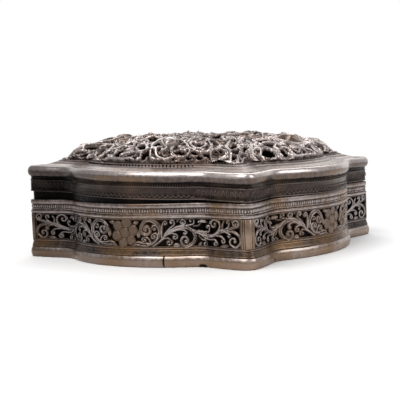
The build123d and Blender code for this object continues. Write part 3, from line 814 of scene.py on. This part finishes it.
def curl_line(across, out, size, number):
    """Line and half widths of one curl, wound in from its rim to its eye."""
    sweep = (1 if number % 2 else -1) * 2 * math.pi * CURL_TURNS
    share = np.linspace(0, 1, 26)
    radius = (size - 0.35) * (1 - 0.86 * share**1.2)
    turn = 2.4 * number + sweep * share
    line = np.stack([across + radius * np.cos(turn), out + radius * np.sin(turn)], 1)
    return line, 0.3 + 0.15 * size * (1 - 0.5 * share)


def dome_border(angle):
    """Reach of the dome's border from the middle at each angle."""
    side = (angle + math.pi / 4) % (math.pi / 2) - math.pi / 4
    along, out = plan_side(DOME_INSET, np.linspace(0, 3, 400))
    return np.interp(np.abs(side), np.arctan2(along, out), np.hypot(along, out))


def dome_foot(x, y):
    """Share of the way out to the foot of the raised dome, which keeps short of the corners."""
    border = dome_border(np.arctan2(y, x))
    foot = DOME_CORNER - 2 * np.log(1 + np.exp((DOME_CORNER - border) / 2))
    return np.hypot(x, y) / foot


def dome_point(x, y):
    """Point of the dome's outer face over a plan point."""
    share = np.clip(dome_foot(x, y), 0, 1)
    return np.stack([x, y, FLANGE_TOP + DOME_RISE * (1 - share**2.9) ** 0.68], -1)


def dome_place(depth):
    """Place of dome points: plan, and a height in shares of depth, square to the dome."""

    def place(u, v, lift):
        step = 0.4
        base = dome_point(u, v)
        slope_x = (dome_point(u + step, v)[:, 2] - dome_point(u - step, v)[:, 2]) / (2 * step)
        slope_y = (dome_point(u, v + step)[:, 2] - dome_point(u, v - step)[:, 2]) / (2 * step)
        normal = np.stack([-slope_x, -slope_y, np.ones(len(u))], 1)
        normal /= np.linalg.norm(normal, axis=1)[:, None]
        height = np.where(lift < 0, lift, (lift - 0.5) * depth)
        return cocked(base + normal * height[:, None])

    return place


def dome_chasing(x, y):
    """Edge distance, height, mounds and share of the way out of the dome's openwork."""
    spots = np.stack([x, y, np.zeros(x.shape)], -1).reshape(-1, 3)
    bent_x = x + 0.45 * uneven(spots, 61, 26.0).reshape(x.shape)
    bent_y = y + 0.45 * uneven(spots, 62, 26.0).reshape(x.shape)
    angle = np.arctan2(bent_y, bent_x)
    share = np.hypot(bent_x, bent_y) / dome_border(angle)
    fold = (angle - math.radians(BOSS_TURN) + math.pi / 4) % (math.pi / 2) - math.pi / 4
    pattern = Chasing(x, y)
    ground = np.full(x.shape, 3.0)
    rims = np.zeros(x.shape)
    mounds = np.zeros(x.shape)
    curls = packed_curls(CURL_SEED)
    for extra in QUARTERS:
        pattern.x = DOME_DISC * share * np.sin(fold + extra)
        pattern.y = DOME_DISC * share * np.cos(fold + extra)
        for opening in DOME_RIBBED + DOME_OPENINGS + FOOT_OPENINGS:
            spot = pattern.near(opening, opening, opening[2] / 2 + 2.5)
            if not spot.any():
                continue
            away = opening_edge(pattern.x[spot], pattern.y[spot], opening)
            ground[spot] = np.minimum(ground[spot], away)
            rib = 0.8 if opening in DOME_RIBBED else 0.62
            rims[spot] = np.maximum(rims[spot], rib * np.exp(-(((away - 0.75) / 0.45) ** 2)))
        for knots, widths in DOME_STROKES:
            line, width = curled(knots, None, 0, widths)
            pattern.stroke(line, np.minimum(0.25 + 0.8 * width, 1.0), rounded)
        for number, (across, out, size) in enumerate(curls):
            spot = pattern.near((across, out), (across, out), size)
            if spot.any():
                away = pattern.away(spot, (across, out))
                ground[spot] = np.minimum(ground[spot], away - size + 0.55)
                pattern.stroke(*curl_line(across, out, size, number), rounded, 0.95)
                pattern.ball((across, out), 0.2 * size + 0.25)
        for number, centre in enumerate(DOME_BALLS):
            pattern.ball(centre, 0.9)
            off = (pattern.x - centre[0]) ** 2 + (pattern.y - centre[1]) ** 2
            tall, spread = (1.0, 28.0) if number % 3 == 0 else (0.45, 14.0)
            mounds = np.maximum(mounds, tall * np.exp(-off / spread))
    edge = np.maximum(ground, pattern.edge)
    # Painted shade: the sunken ground between the strokes gets little lift and so the near-black
    # recess tone, dark like the openings, over the oxide in its hollows.
    hollow = 0.07 + 0.05 * uneven(spots, 63, 4.0).reshape(x.shape)
    return edge, np.maximum(np.maximum(hollow, rims), pattern.lift), mounds, share


# ---- rows of small punched and beaded work

# Each bent motif: points on its arc, where the arc starts and how far it sweeps.
MOTIF_ARCS = {"arch": (9, math.pi, math.pi), "curl": (15, -0.6, 5.0)}


def row_tree(name, motif):
    """Node tree that sets a motif along an edge path, a little unevenly sized."""
    tree = bpy.data.node_groups.new(name, "GeometryNodeTree")
    for socket, kind in (("Geometry", "Geometry"), ("Pitch", "Float"), ("Size", "Vector"),
                         ("Unevenness", "Float"), ("Seed", "Int"), ("Material", "Material")):
        tree.interface.new_socket(socket, in_out="INPUT", socket_type="NodeSocket" + kind)
    tree.interface.new_socket("Geometry", in_out="OUTPUT", socket_type="NodeSocketGeometry")
    given = node(tree, "NodeGroupInput").outputs
    curve = node(tree, "GeometryNodeMeshToCurve", {"Mesh": given["Geometry"]}).outputs[0]
    points = node(tree, "GeometryNodeCurveToPoints", {"Curve": curve, "Length": given["Pitch"]},
                  mode="LENGTH").outputs
    span = vector(tree, "SCALE", (1, 1, 1), given["Unevenness"])[0]
    limits = {"Min": vector(tree, "SUBTRACT", (1, 1, 1), span)[0],
              "Max": vector(tree, "ADD", (1, 1, 1), span)[0], "Seed": given["Seed"]}
    jitter = node(tree, "FunctionNodeRandomValue", limits, data_type="FLOAT_VECTOR").outputs[0]
    size = vector(tree, "MULTIPLY", jitter, given["Size"])[0]
    if motif == "bead":
        shape = node(tree, "GeometryNodeMeshUVSphere", {"Segments": 8, "Rings": 5, "Radius": 0.5})
    else:
        count, start, sweep = MOTIF_ARCS[motif]
        bend = node(tree, "GeometryNodeCurveArc", {
            "Resolution": count, "Radius": 0.5, "Start Angle": start, "Sweep Angle": sweep},
            mode="RADIUS")
        wire = node(tree, "GeometryNodeCurvePrimitiveCircle", {"Resolution": 5, "Radius": 0.11})
        shape = node(tree, "GeometryNodeCurveToMesh", {
            "Curve": bend.outputs["Curve"], "Profile Curve": wire.outputs["Curve"],
            "Fill Caps": True})
    # A motif stands in the plane of its path's tangent and the upright, its depth outwards.
    tangent = points["Tangent"]
    upright = node(tree, "FunctionNodeAlignRotationToVector", {"Vector": tangent}, axis="X")
    outward = vector(tree, "CROSS_PRODUCT", tangent, (0, 0, 1))[0]
    facing = node(tree, "FunctionNodeAlignRotationToVector",
                  {"Rotation": upright.outputs[0], "Vector": outward}, axis="Z", pivot_axis="X")
    placed = node(tree, "GeometryNodeInstanceOnPoints", {
        "Points": points["Points"], "Instance": shape.outputs["Mesh"],
        "Rotation": facing.outputs[0], "Scale": size})
    real = node(tree, "GeometryNodeRealizeInstances", {0: placed.outputs[0]})
    smooth = node(tree, "GeometryNodeSetShadeSmooth", {"Geometry": real.outputs[0]})
    painted = node(tree, "GeometryNodeSetMaterial",
                   {"Geometry": smooth.outputs[0], "Material": given["Material"]})
    node(tree, "NodeGroupOutput", {0: painted.outputs[0]})
    return tree


def punched_row(name, paths, closed, motif, pitch, size, finish, body, seed, wear, uneven_by):
    """Plain mesh of a motif repeated along paths of points in millimetres."""
    mesh = bpy.data.meshes.new(name + "_path")
    points, edges = [], []
    for path in paths:
        first = len(points)
        points += [tuple(p) for p in path * MM]
        edges += [(first + k, first + k + 1) for k in range(len(path) - 1)]
        if closed:
            edges.append((len(points) - 1, first))
    mesh.from_pydata(points, edges, [])
    carrier = bpy.data.objects.new(name + "_path", mesh)
    bpy.context.scene.collection.objects.link(carrier)
    modifier = carrier.modifiers.new("Row", "NODES")
    modifier.node_group = row_tree(name + "_nodes", motif)
    given = {"Pitch": pitch * MM, "Size": [value * MM for value in size], "Unevenness": uneven_by,
             "Seed": seed, "Material": finish_of(finish)}
    for item in modifier.node_group.interface.items_tree:
        if item.name in given:
            modifier[item.identifier] = given[item.name]
    seen = carrier.evaluated_get(bpy.context.evaluated_depsgraph_get())
    plain = bpy.data.meshes.new_from_object(seen)
    plain.name = name
    set_wear(plain, np.full(len(plain.vertices), wear))
    bpy.data.objects.remove(carrier)
    shown(name, plain, body)


def side_paths(inset, height, spans):
    """Cocked paths on every side between pairs of lengths from the middle of its lobe."""
    lengths = side_lengths(inset)
    paths = []
    for low, high in spans:
        run = np.linspace(low, high, max(int((high - low) / 0.8), 2))
        along, out = plan_side(inset, station_of(run, lengths))
        for turn in range(4):
            place = [*turned(along, out, turn), np.full(len(run), height)]
            paths.append(cocked(np.column_stack(place)))
    return paths


# ---- settings shown in the sidebar


def length(name, description, default):
    return FloatProperty(name=name, description=description, default=default, unit="LENGTH")


def tone(name, description, default):
    return FloatVectorProperty(
        name=name, description=description, default=default, subtype="COLOR")


class PaanBoxSettings(PropertyGroup):
    wall_cell: length("Wall Cell", "Grid cell of the sawn walls", 0.00023)
    dome_cell: length("Dome Cell", "Grid cell of the sawn dome", 0.00036)
    wall_relief: length("Wall Relief", "Height of the walls' chasing", 0.0005)
    dome_relief: length("Dome Relief", "Height of the dome's chasing", 0.0017)
    bead_pitch: length("Bead Pitch", "Distance between the dashes of the beaded band", 0.00145)
    # The recess tone is grime in hollows, and also painted shade on the dome's ground and the
    # nicks.
    silver_recess: tone("Recess", "Silver where grime stays", (0.013, 0.010, 0.009))
    silver_body: tone("Silver", "Oxidised silver", (0.155, 0.121, 0.110))
    silver_bright: tone("Rubbed Silver", "Silver where it is rubbed", (0.50, 0.44, 0.42))
    silver_brown: tone("Tarnish", "Brown tarnish", (0.18, 0.108, 0.055))
    floor_tone: FloatProperty(
        name="Floor Tone", description="Paleness of the floor", default=0.9)


# ---- operators, one for each piece or group of like pieces


class PAANBOX_OT_base_mouldings(Operator):
    """Half-round foot and the coved plinth above it"""

    bl_idname = "paan_box.base_mouldings"
    bl_label = "Base Mouldings"

    def execute(self, context):
        roll = arc(1.2, 3.0, 1.2, 3.0, -90, 0, 9)[:-1] + arc(1.55, 3.0, 1.55, 3.0, 0, 90, 10)
        roll += [(2.6, BASE_ROLL_TOP), (ROLL_DEPTH, BASE_ROLL_TOP), (ROLL_DEPTH, 0.0)]
        wear = [0.05, 0.15, 0.3] + [0.6] * 9 + [0.85] * 5 + [0.5, 0.2, 0.1] + [0.0] * 3
        moulding("foot_roll", roll, wear, "base_silver", "base", ("base_roll",), 5, 0.10, 3)
        cove = [(0.8, 6.0), (0.8, 6.3), (0.92, 6.45), (1.05, 6.9), (1.3, 7.6), (1.48, 8.3),
                (1.55, 8.8), (1.85, 8.95), (1.85, 9.1), (1.5, 9.2), (1.3, 9.35), (1.3, 9.8),
                (1.5, 10.0), (1.75, PANEL_FOOT), (LINING_INSET, PANEL_FOOT), (LINING_INSET, 6.0)]
        wear = [0.1, 0.3, 0.3, 0.2, 0.2, 0.25, 0.2, 0.0, 0.0, 0.4, 0.6, 0.6, 0.3, 0.0, 0.0, 0.0]
        moulding("plinth_cove", cove, wear, "band_silver", "base", ("plinth",), 7, 0.05)
        return {"FINISHED"}


class PAANBOX_OT_walls(Operator):
    """Four pierced and chased walls"""

    bl_idname = "paan_box.walls"
    bl_label = "Pierced Walls"

    def execute(self, context):
        props = context.scene.paan_box
        cell = props.wall_cell / MM * 1
        us = np.arange(-PANEL_HALF - 0.3, PANEL_HALF + 0.3, cell)
        vs = np.linspace(-0.15, PANEL_HIGH + 0.15, int(PANEL_HIGH / cell))
        u, v = np.meshgrid(us, vs, indexing="ij")
        border = np.maximum(np.maximum(WALL_BORDER - v, v - PANEL_HIGH + WALL_BORDER),
                            np.abs(u) - PANEL_HALF + WALL_END_BORDER)
        bounds = np.minimum(np.minimum(v, PANEL_HIGH - v), PANEL_HALF - np.abs(u))
        for turn, side in enumerate(SIDES):
            edge, lift = wall_chasing(turn, u, v)
            field = np.minimum(np.maximum(edge, border) + 0.22, bounds)
            lift = np.clip(np.maximum(lift, np.where(border > -0.1, 0.3, -9.0)), 0.0, 1.0)
            sheet_piece(f"wall_{side}", field, lift, lift, us, vs,
                        wall_place(turn, props.wall_relief / MM), WALL_SHEET, "chased_silver",
                        "base", (f"panel_{side}",))
        return {"FINISHED"}


class PAANBOX_OT_corners(Operator):
    """Four corner posts, grooved beside the walls and plain round the corner"""

    bl_idname = "paan_box.corners"
    bl_label = "Corner Posts"

    def execute(self, context):
        lengths = side_lengths(WALL_INSET)
        end = sum(lengths)
        half = [(71.62, 1.6), (71.75, 1.35), (72.1, 1.3), (72.3, 1.65), (72.5, 1.65),
                (72.7, 1.3), (73.1, 1.28), (73.3, 1.65), (73.45, 1.65), (73.65, 1.3)]
        half += [(s, 1.25) for s in np.linspace(73.9, end, 6)]
        runs, insets = np.array(half + [(2 * end - s, inset) for s, inset in half[-2::-1]]).T
        past = runs > end
        station = station_of(np.where(past, runs - 2 * end, runs), lengths)
        bevel = 0.35
        rows = [(insets + bevel, PANEL_FOOT), (insets, PANEL_FOOT + bevel),
                (insets, PANEL_TOP - bevel), (insets + bevel, PANEL_TOP)]
        rows += [(LINING_INSET, height) for _, height in rows[::-1]]
        for turn, corner in enumerate(CORNERS):
            points = []
            for inset, height in rows:
                place = plan_side(inset, station)
                x, y = np.where(past, turned(*place, turn + 1), turned(*place, turn))
                points.append(np.column_stack([x, y, np.full(len(runs), height)]))
            count = len(runs)
            ends = np.arange(len(rows)) * count
            faces = [quads(len(rows), count, 1, 0), ends[None] + count - 1, ends[None, ::-1]]
            wear = np.tile(np.where(insets > 1.5, 0.05, 0.6), len(rows))
            mesh_piece(f"corner_{corner}", np.concatenate(points), faces, wear, "base_silver",
                       "base", (f"pilaster_{corner}",))
        return {"FINISHED"}


class PAANBOX_OT_band(Operator):
    """Beaded band round the mouth of the base"""

    bl_idname = "paan_box.band"
    bl_label = "Beaded Band"

    def execute(self, context):
        section = [(1.9, 25.1), (1.6, 25.15), (1.25, 25.35), (1.1, 25.7), (1.1, 26.3),
                   (1.25, 26.65), (1.6, 26.85), (1.9, 26.95), (1.9, 30.25), (1.6, 30.35),
                   (1.35, 30.55), (1.3, 31.0), (1.32, 32.2), (1.45, 32.6), (1.7, SEAM),
                   (LINING_INSET, SEAM), (LINING_INSET, 25.1)]
        wear = [0.0, 0.2, 0.6, 0.8, 0.7, 0.5, 0.3, 0.3, 0.3, 0.3, 0.6, 0.75, 0.6, 0.6, 0.2, 0, 0]
        moulding("mouth_band", section, wear, "band_silver", "base", ("base_band",), 9, 0.06)
        pitch = context.scene.paan_box.bead_pitch / MM
        for name, height, share, size, seed, uneven_by in (
            ("band_dashes", 28.9, 1, (0.95, 1.9, 0.7), 3, 0.25),
            ("band_beads", 27.4, 0.62, (0.66, 0.66, 0.7), 4, 0.2),
        ):
            punched_row(name, [plan_round(1.85, height)], True, "bead", pitch * share, size,
                        "band_silver", "base", seed, 0.8, uneven_by)
        return {"FINISHED"}


class PAANBOX_OT_lid_mouldings(Operator):
    """Skirt, half-round edge and sloping flange of the lid"""

    bl_idname = "paan_box.lid_mouldings"
    bl_label = "Lid Mouldings"

    def execute(self, context):
        foot, top = SKIRT_FOOT, SKIRT_TOP
        skirt = [(1.8, foot), (1.55, foot + 0.1), (1.5, foot + 0.45), (1.72, foot + 0.6),
                 (1.75, foot + 3.0), (1.75, 39.1), (1.55, 39.2), (1.55, 39.5), (1.8, 39.6),
                 (1.95, 40.2), (1.95, 40.8), (1.8, 41.3), (1.65, top), (2.45, top), (2.45, foot)]
        # The band just under the edge roll gets little wear and so is dark: painted shadow of the
        # roll.
        wear = [0.2, 0.8, 0.8, 0.1, 0.3, 0.3, 0.7, 0.7, 0.05, 0.1, 0.1, 0.05, 0.0, 0.0, 0.0]
        moulding("skirt", skirt, wear, "skirt_silver", "lid", ("lid_skirt",), 11, 0.08)
        roll = arc(1.55, top + 2.9, 1.55, 2.9, -90, 0, 9)[:-1]
        roll += arc(2.6, top + 2.9, 2.6, 2.9, 0, 90, 12)
        roll += [(3.2, LID_ROLL_TOP), (ROLL_DEPTH, LID_ROLL_TOP), (ROLL_DEPTH, top)]
        # The roll's wear is lowest underneath and highest over its upper face: rubbed silver, and
        # a painted highlight along the top.
        wear = [0.0, 0.1, 0.2] + [0.3] * 6 + [0.5, 0.8] + [1.0] * 7 + [0.85, 0.7, 0.6, 0.5]
        moulding("edge_roll", roll, wear + [0.4] * 3, "roll_silver", "lid", ("lid_roll",), 13,
                 0.14, 3)
        # The flange's face: shares of the way in, the dips of its drawn lines, and the wear.
        face = ((0, 0, 0.4), (0.05, 0, 0.6), (0.12, 0, 0.6), (0.14, 0.1, 0.25), (0.17, 0.1, 0.25),
                (0.19, 0, 0.6), (0.26, 0, 0.55), (0.36, 0, 0.5), (0.46, 0, 0.5), (0.56, 0, 0.5),
                (0.58, 0.1, 0.25), (0.61, 0.1, 0.25), (0.63, 0, 0.6), (0.72, 0, 0.5),
                (0.8, 0, 0.5), (0.82, 0.12, 0.1), (0.85, 0.12, 0.1), (0.87, 0.0, 0.6),
                (0.94, 0, 0.5), (1, 0, 0.2))
        face += tuple((share, 0.9, 0.0) for share in (1, 0.75, 0.5, 0.25, 0))
        flange = [(ROLL_DEPTH + (DOME_INSET - ROLL_DEPTH) * share,
                   LID_ROLL_TOP + FLANGE_RISE * share**2 - dip) for share, dip, _ in face]
        moulding("flange", flange, [wear for _, _, wear in face], "flange_silver", "lid",
                 ("lid_flange",), 17, 0.10)
        return {"FINISHED"}


class PAANBOX_OT_lid_rows(Operator):
    """Punched and raised rows on the lid's skirt and flange"""

    bl_idname = "paan_box.lid_rows"
    bl_label = "Lid Rows"

    def execute(self, context):
        for name, inset, height, spans, motif, pitch, size, seed, wear, uneven_by in (
            ("skirt_scallops", 1.7, 35.6, ((-42, 42),), "arch", 2.7, (2.5, 2.6, 2.2), 5, 0.7, 0.2),
            ("skirt_dots", 1.75, 36.6, ((-43, 43),), "bead", 1.35, (0.6, 0.6, 0.6), 6, 0.6, 0.3),
            ("skirt_ticks", 1.8, 40.3, ((-40, 40),), "bead", 1.3, (0.5, 1.7, 0.7), 7, 0.5, 0.2),
            ("skirt_curls", 1.7, 36.6, ((46, 72), (-72, -46)), "curl", 2.5, (1.8, 2.7, 2.0), 8,
             0.8, 0.25),
        ):
            punched_row(name, side_paths(inset, height, spans), False, motif, pitch, size,
                        "skirt_silver", "lid", seed, wear, uneven_by)
        # The flange's punches are raised beads in near-black: painted shade of punched dents.
        front_and_back = side_paths(12.1, 49.6, ((-36, 36),))[::2]
        punched_row("flange_punches", front_and_back, False, "bead", 1.9, (0.8, 1.0, 1.7),
                    "painted_shade_silver", "lid", 10, 0.0, 0.3)
        punched_row("dome_foot_beads", [cocked(plan_round(14.4, 50.75))], True, "bead", 1.6,
                    (1.0, 0.8, 0.8), "skirt_silver", "lid", 9, 0.7, 0.25)
        return {"FINISHED"}


class PAANBOX_OT_dome(Operator):
    """Pierced and chased dome of the lid, in four quarters"""

    bl_idname = "paan_box.dome"
    bl_label = "Pierced Dome"

    def execute(self, context):
        props = context.scene.paan_box
        cell = props.dome_cell / MM * 1
        line = np.arange(-0.2, 84.5, cell)
        place = dome_place(props.dome_relief / MM)
        share_length = 75  # millimetres to one share of the way out
        signs = ((1, -1), (1, 1), (-1, 1), (-1, -1))
        for (sign_x, sign_y), name in zip(signs, CORNERS):
            us = line if sign_x > 0 else -line[::-1]
            vs = line if sign_y > 0 else -line[::-1]
            x, y = np.meshgrid(us, vs, indexing="ij")
            edge, lift, mounds, share = dome_chasing(x, y)
            rim = (dome_foot(x, y) - 0.978) * share_length
            lift = np.maximum(lift, np.where(rim > -0.1, 0.12, -9.0))
            bounds = np.minimum(np.minimum(sign_x * x, sign_y * y), (0.998 - share) * share_length)
            field = np.minimum(np.maximum(edge, rim), bounds)
            # The crown is rubbed flatter than the flanks.
            flank = np.clip((share - 0.3) / 0.35, 0, 1)
            wear = np.clip(lift, 0.0, 1.2) * (0.72 + 0.28 * flank)
            lift = lift * np.where(lift > 0, 0.6 + 0.4 * flank, 1.0)
            swell = (1.05 + 0.35 * np.clip((share - 0.45) / 0.2, 0, 1)) * mounds
            swell *= np.clip((0.95 - share) / 0.05, 0, 1)
            lift = np.clip(lift, 0.0, 1.1) + swell
            # The first quarter stands for the whole of the frame's dome.
            replaces = ("lid_dome",) if name == CORNERS[0] else ()
            sheet_piece(f"dome_{name}", field, lift, wear, us, vs, place, DOME_SHEET,
                        "dome_silver", "lid", replaces)
        return {"FINISHED"}


class PAANBOX_OT_bosses(Operator):
    """Raised lozenge bosses on the dome"""

    bl_idname = "paan_box.bosses"
    bl_label = "Lozenge Bosses"

    def execute(self, context):
        # Rings of a boss from its hidden foot to its tip: share of its size, and rise.
        rings = ((1.4, -4.4), (1.15, -1.4), (1.0, 0.0), (0.93, 0.55), (0.86, 0.7), (0.79, 0.55),
                 (0.72, 0.1), (0.64, 0.3), (0.5, 0.95), (0.3, 1.35), (0.12, 1.55))
        tip_rise = 1.6
        around = 32
        turns = np.arange(around) * 2 * math.pi / around
        lozenge = (np.abs(np.cos(turns)) ** 1.25 + np.abs(np.sin(turns)) ** 1.25) ** 0.8
        points, faces, wear = [], [], []
        for k in range(4):
            angle = math.radians(BOSS_TURN + 90 * k)
            way = np.array([math.cos(angle), math.sin(angle)])
            reach = BOSS_REACH * float(dome_border(np.array([angle]))[0])
            centre, outer = dome_point(*np.outer(way, [reach, reach + 3]))
            radial = (outer - centre) / np.linalg.norm(outer - centre)
            lateral = np.array([-way[1], way[0], 0])
            normal = np.cross(radial, lateral)
            # The boss leans outwards, its inner end standing off the dome.
            leaned = radial * math.cos(BOSS_LEAN) - normal * math.sin(BOSS_LEAN)
            normal = radial * math.sin(BOSS_LEAN) + normal * math.cos(BOSS_LEAN)
            centre = centre + normal * (7.0 * math.sin(BOSS_LEAN) + 1.1)
            for share, rise in rings:
                spread = share / lozenge
                along = BOSS_LONG * spread * np.cos(turns)
                bent = rise - 2.6 * (np.minimum(along, 0) / BOSS_LONG) ** 2
                across = BOSS_WIDE * spread * np.sin(turns)
                points.append(centre + np.outer(along, leaned) + np.outer(bent, normal)
                              + np.outer(across, lateral))
                rubbed = 0.5 + 0.35 * max(rise, 0)
                if rise < -2 or 0 < rise < 0.2:
                    rubbed = 0.05 if rise < 0 else 0.2
                wear.append(np.full(around, rubbed))
            points.append((centre + normal * tip_rise)[None, :])
            wear.append(np.array([1.0]))
            first = k * (len(rings) * around + 1)
            last = first + (len(rings) - 1) * around
            round_ring = np.arange(around)
            fan = np.stack([last + round_ring, last + (round_ring + 1) % around,
                            np.full(around, last + around)], 1)
            faces += [quads(len(rings), around, 0, 1, first), fan,
                      (first + round_ring[::-1])[None, :]]
        mesh_piece("bosses", cocked(np.concatenate(points)), faces, np.concatenate(wear),
                   "dome_silver", "lid", ("lid_bosses",))
        return {"FINISHED"}


class PAANBOX_OT_inside(Operator):
    """Finishes of the bottom, lining, tray, cups and their lids"""

    bl_idname = "paan_box.inside"
    bl_label = "Inside Finishes"

    def execute(self, context):
        # The lining is near-black: painted shade seen through the pierced walls.
        finishes = {"bottom_plate": "bottom_silver", "lining": "painted_shade_silver"}
        for name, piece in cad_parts.items():
            if name.startswith(("tray", "partition", "cup", "knob")):
                finishes[name] = "tray_silver"
        for name, finish in finishes.items():
            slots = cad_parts[name].data.materials
            slots.clear()
            slots.append(finish_of(finish))
        return {"FINISHED"}


class PAANBOX_OT_stage(Operator):
    """Pale floor, soft lamps and the camera"""

    bl_idname = "paan_box.stage"
    bl_label = "Stage"

    def execute(self, context):
        scene = context.scene
        self.floor(scene)
        for name, place, size, power, tone in (
            ("key", (-0.04, -0.50, 0.88), (0.75, 0.85), 7.0, (1, 0.99, 0.97)),
            ("fill", (0.82, 0.17, 0.60), (0.55, 0.55), 2.4, (0.98, 0.99, 1)),
            ("behind", (-0.36, 0.62, 0.74), (0.8, 0.8), 4.2, (1, 1, 1)),
        ):
            lamp = bpy.data.lights.new(name, "AREA")
            lamp.shape = "RECTANGLE"
            lamp.size, lamp.size_y = size
            lamp.energy = power
            lamp.color = tone
            holder = bpy.data.objects.new(name, lamp)
            holder.location = place
            way = Vector((0, 0, 0.04)) - Vector(place)
            holder.rotation_euler = way.to_track_quat("-Z", "Y").to_euler()
            scene.collection.objects.link(holder)
        world = bpy.data.worlds.new("studio")
        world.use_nodes = True
        fed(world.node_tree, world.node_tree.nodes["Background"],
            {"Color": (0.5, 0.5, 0.51, 1), "Strength": 1.0})
        scene.world = world
        scene.view_settings.view_transform = "Standard"
        camera = bpy.data.cameras.new("camera")
        camera.lens = 80.77
        camera.sensor_width = 36.0
        camera.clip_start = 0.01
        holder = bpy.data.objects.new("camera", camera)
        right = Vector((0.83474, 0.54923, -0.03941))
        up = Vector((-0.01608, 0.09586, 0.99526))
        back = right.cross(up).normalized()
        up = back.cross(right).normalized()
        turn = Matrix((right, up, back)).transposed().to_4x4()
        holder.matrix_world = Matrix.Translation((0.29320, -0.44735, 0.07439)) @ turn
        scene.collection.objects.link(holder)
        scene.camera = holder
        return {"FINISHED"}

    def floor(self, scene):
        """A wide sweep: flat under the box, curving up far behind it to white."""
        profile = [(-1.5, 0.0), (0.0, 0.0), (1.0, 0.0), (1.6, 0.05), (2.1, 0.3), (2.4, 0.8),
                   (2.5, 2.5)]
        away = Vector((-0.55, 0.83, 0)).normalized()
        wide = Vector((0.83, 0.55, 0)).normalized()
        points = [away * step + wide * side + Vector((0, 0, height))
                  for step, height in profile for side in (-3.0, 3.0)]
        mesh = bpy.data.meshes.new("floor")
        mesh.from_pydata([tuple(p) for p in points], [],
                         [(k, k + 1, k + 3, k + 2) for k in range(0, len(points) - 2, 2)])
        material = bpy.data.materials.new("pale_floor")
        material.use_nodes = True
        tree = material.node_tree
        tone = scene.paan_box.floor_tone
        shader = fed(tree, tree.nodes["Principled BSDF"], {
            "Base Color": (tone, tone, tone, 1), "Roughness": 0.9, "Specular IOR Level": 0.0})
        at = node(tree, "ShaderNodeTexCoord").outputs["Object"]
        share = ranged(tree, vector(tree, "LENGTH", at)["Value"], 0.16, 0.42)
        rays = node(tree, "ShaderNodeLightPath").outputs
        seen = maths(tree, "MAXIMUM", rays["Is Camera Ray"], rays["Is Glossy Ray"])
        seen = maths(tree, "MAXIMUM", seen, rays["Is Transmission Ray"])
        blend = node(tree, "ShaderNodeMixShader", {
            0: maths(tree, "MULTIPLY", share, seen), 1: shader.outputs[0],
            2: node(tree, "ShaderNodeEmission").outputs[0]})
        fed(tree, tree.nodes["Material Output"], {"Surface": blend.outputs[0]})
        mesh.materials.append(material)
        floor = bpy.data.objects.new("floor", mesh)
        scene.collection.objects.link(floor)


class PAANBOX_PT_panel(Panel):
    """Sizes, colours and builders of the paan box"""

    bl_label = "Paan Box"
    bl_idname = "PAANBOX_PT_panel"
    bl_space_type = "VIEW_3D"
    bl_region_type = "UI"
    bl_category = "Paan Box"

    def draw(self, context):
        for name in PaanBoxSettings.__annotations__:
            self.layout.prop(context.scene.paan_box, name)
        for builder in BUILDERS:
            self.layout.operator(builder.bl_idname)


BUILDERS = (
    PAANBOX_OT_base_mouldings,
    PAANBOX_OT_walls,
    PAANBOX_OT_corners,
    PAANBOX_OT_band,
    PAANBOX_OT_lid_mouldings,
    PAANBOX_OT_lid_rows,
    PAANBOX_OT_dome,
    PAANBOX_OT_bosses,
    PAANBOX_OT_inside,
    PAANBOX_OT_stage,
)
CLASSES = (PaanBoxSettings,) + BUILDERS + (PAANBOX_PT_panel,)


def register():
    for cls in CLASSES:
        bpy.utils.register_class(cls)
    bpy.types.Scene.paan_box = PointerProperty(type=PaanBoxSettings)


def unregister():
    del bpy.types.Scene.paan_box
    for cls in reversed(CLASSES):
        bpy.utils.unregister_class(cls)


def main():
    register()
    bpy.ops.paan_box.base_mouldings()
    bpy.ops.paan_box.walls()
    bpy.ops.paan_box.corners()
    bpy.ops.paan_box.band()
    bpy.ops.paan_box.lid_mouldings()
    bpy.ops.paan_box.lid_rows()
    bpy.ops.paan_box.dome()
    bpy.ops.paan_box.bosses()
    bpy.ops.paan_box.inside()
    bpy.ops.paan_box.stage()


if __name__ == "__main__":
    main()
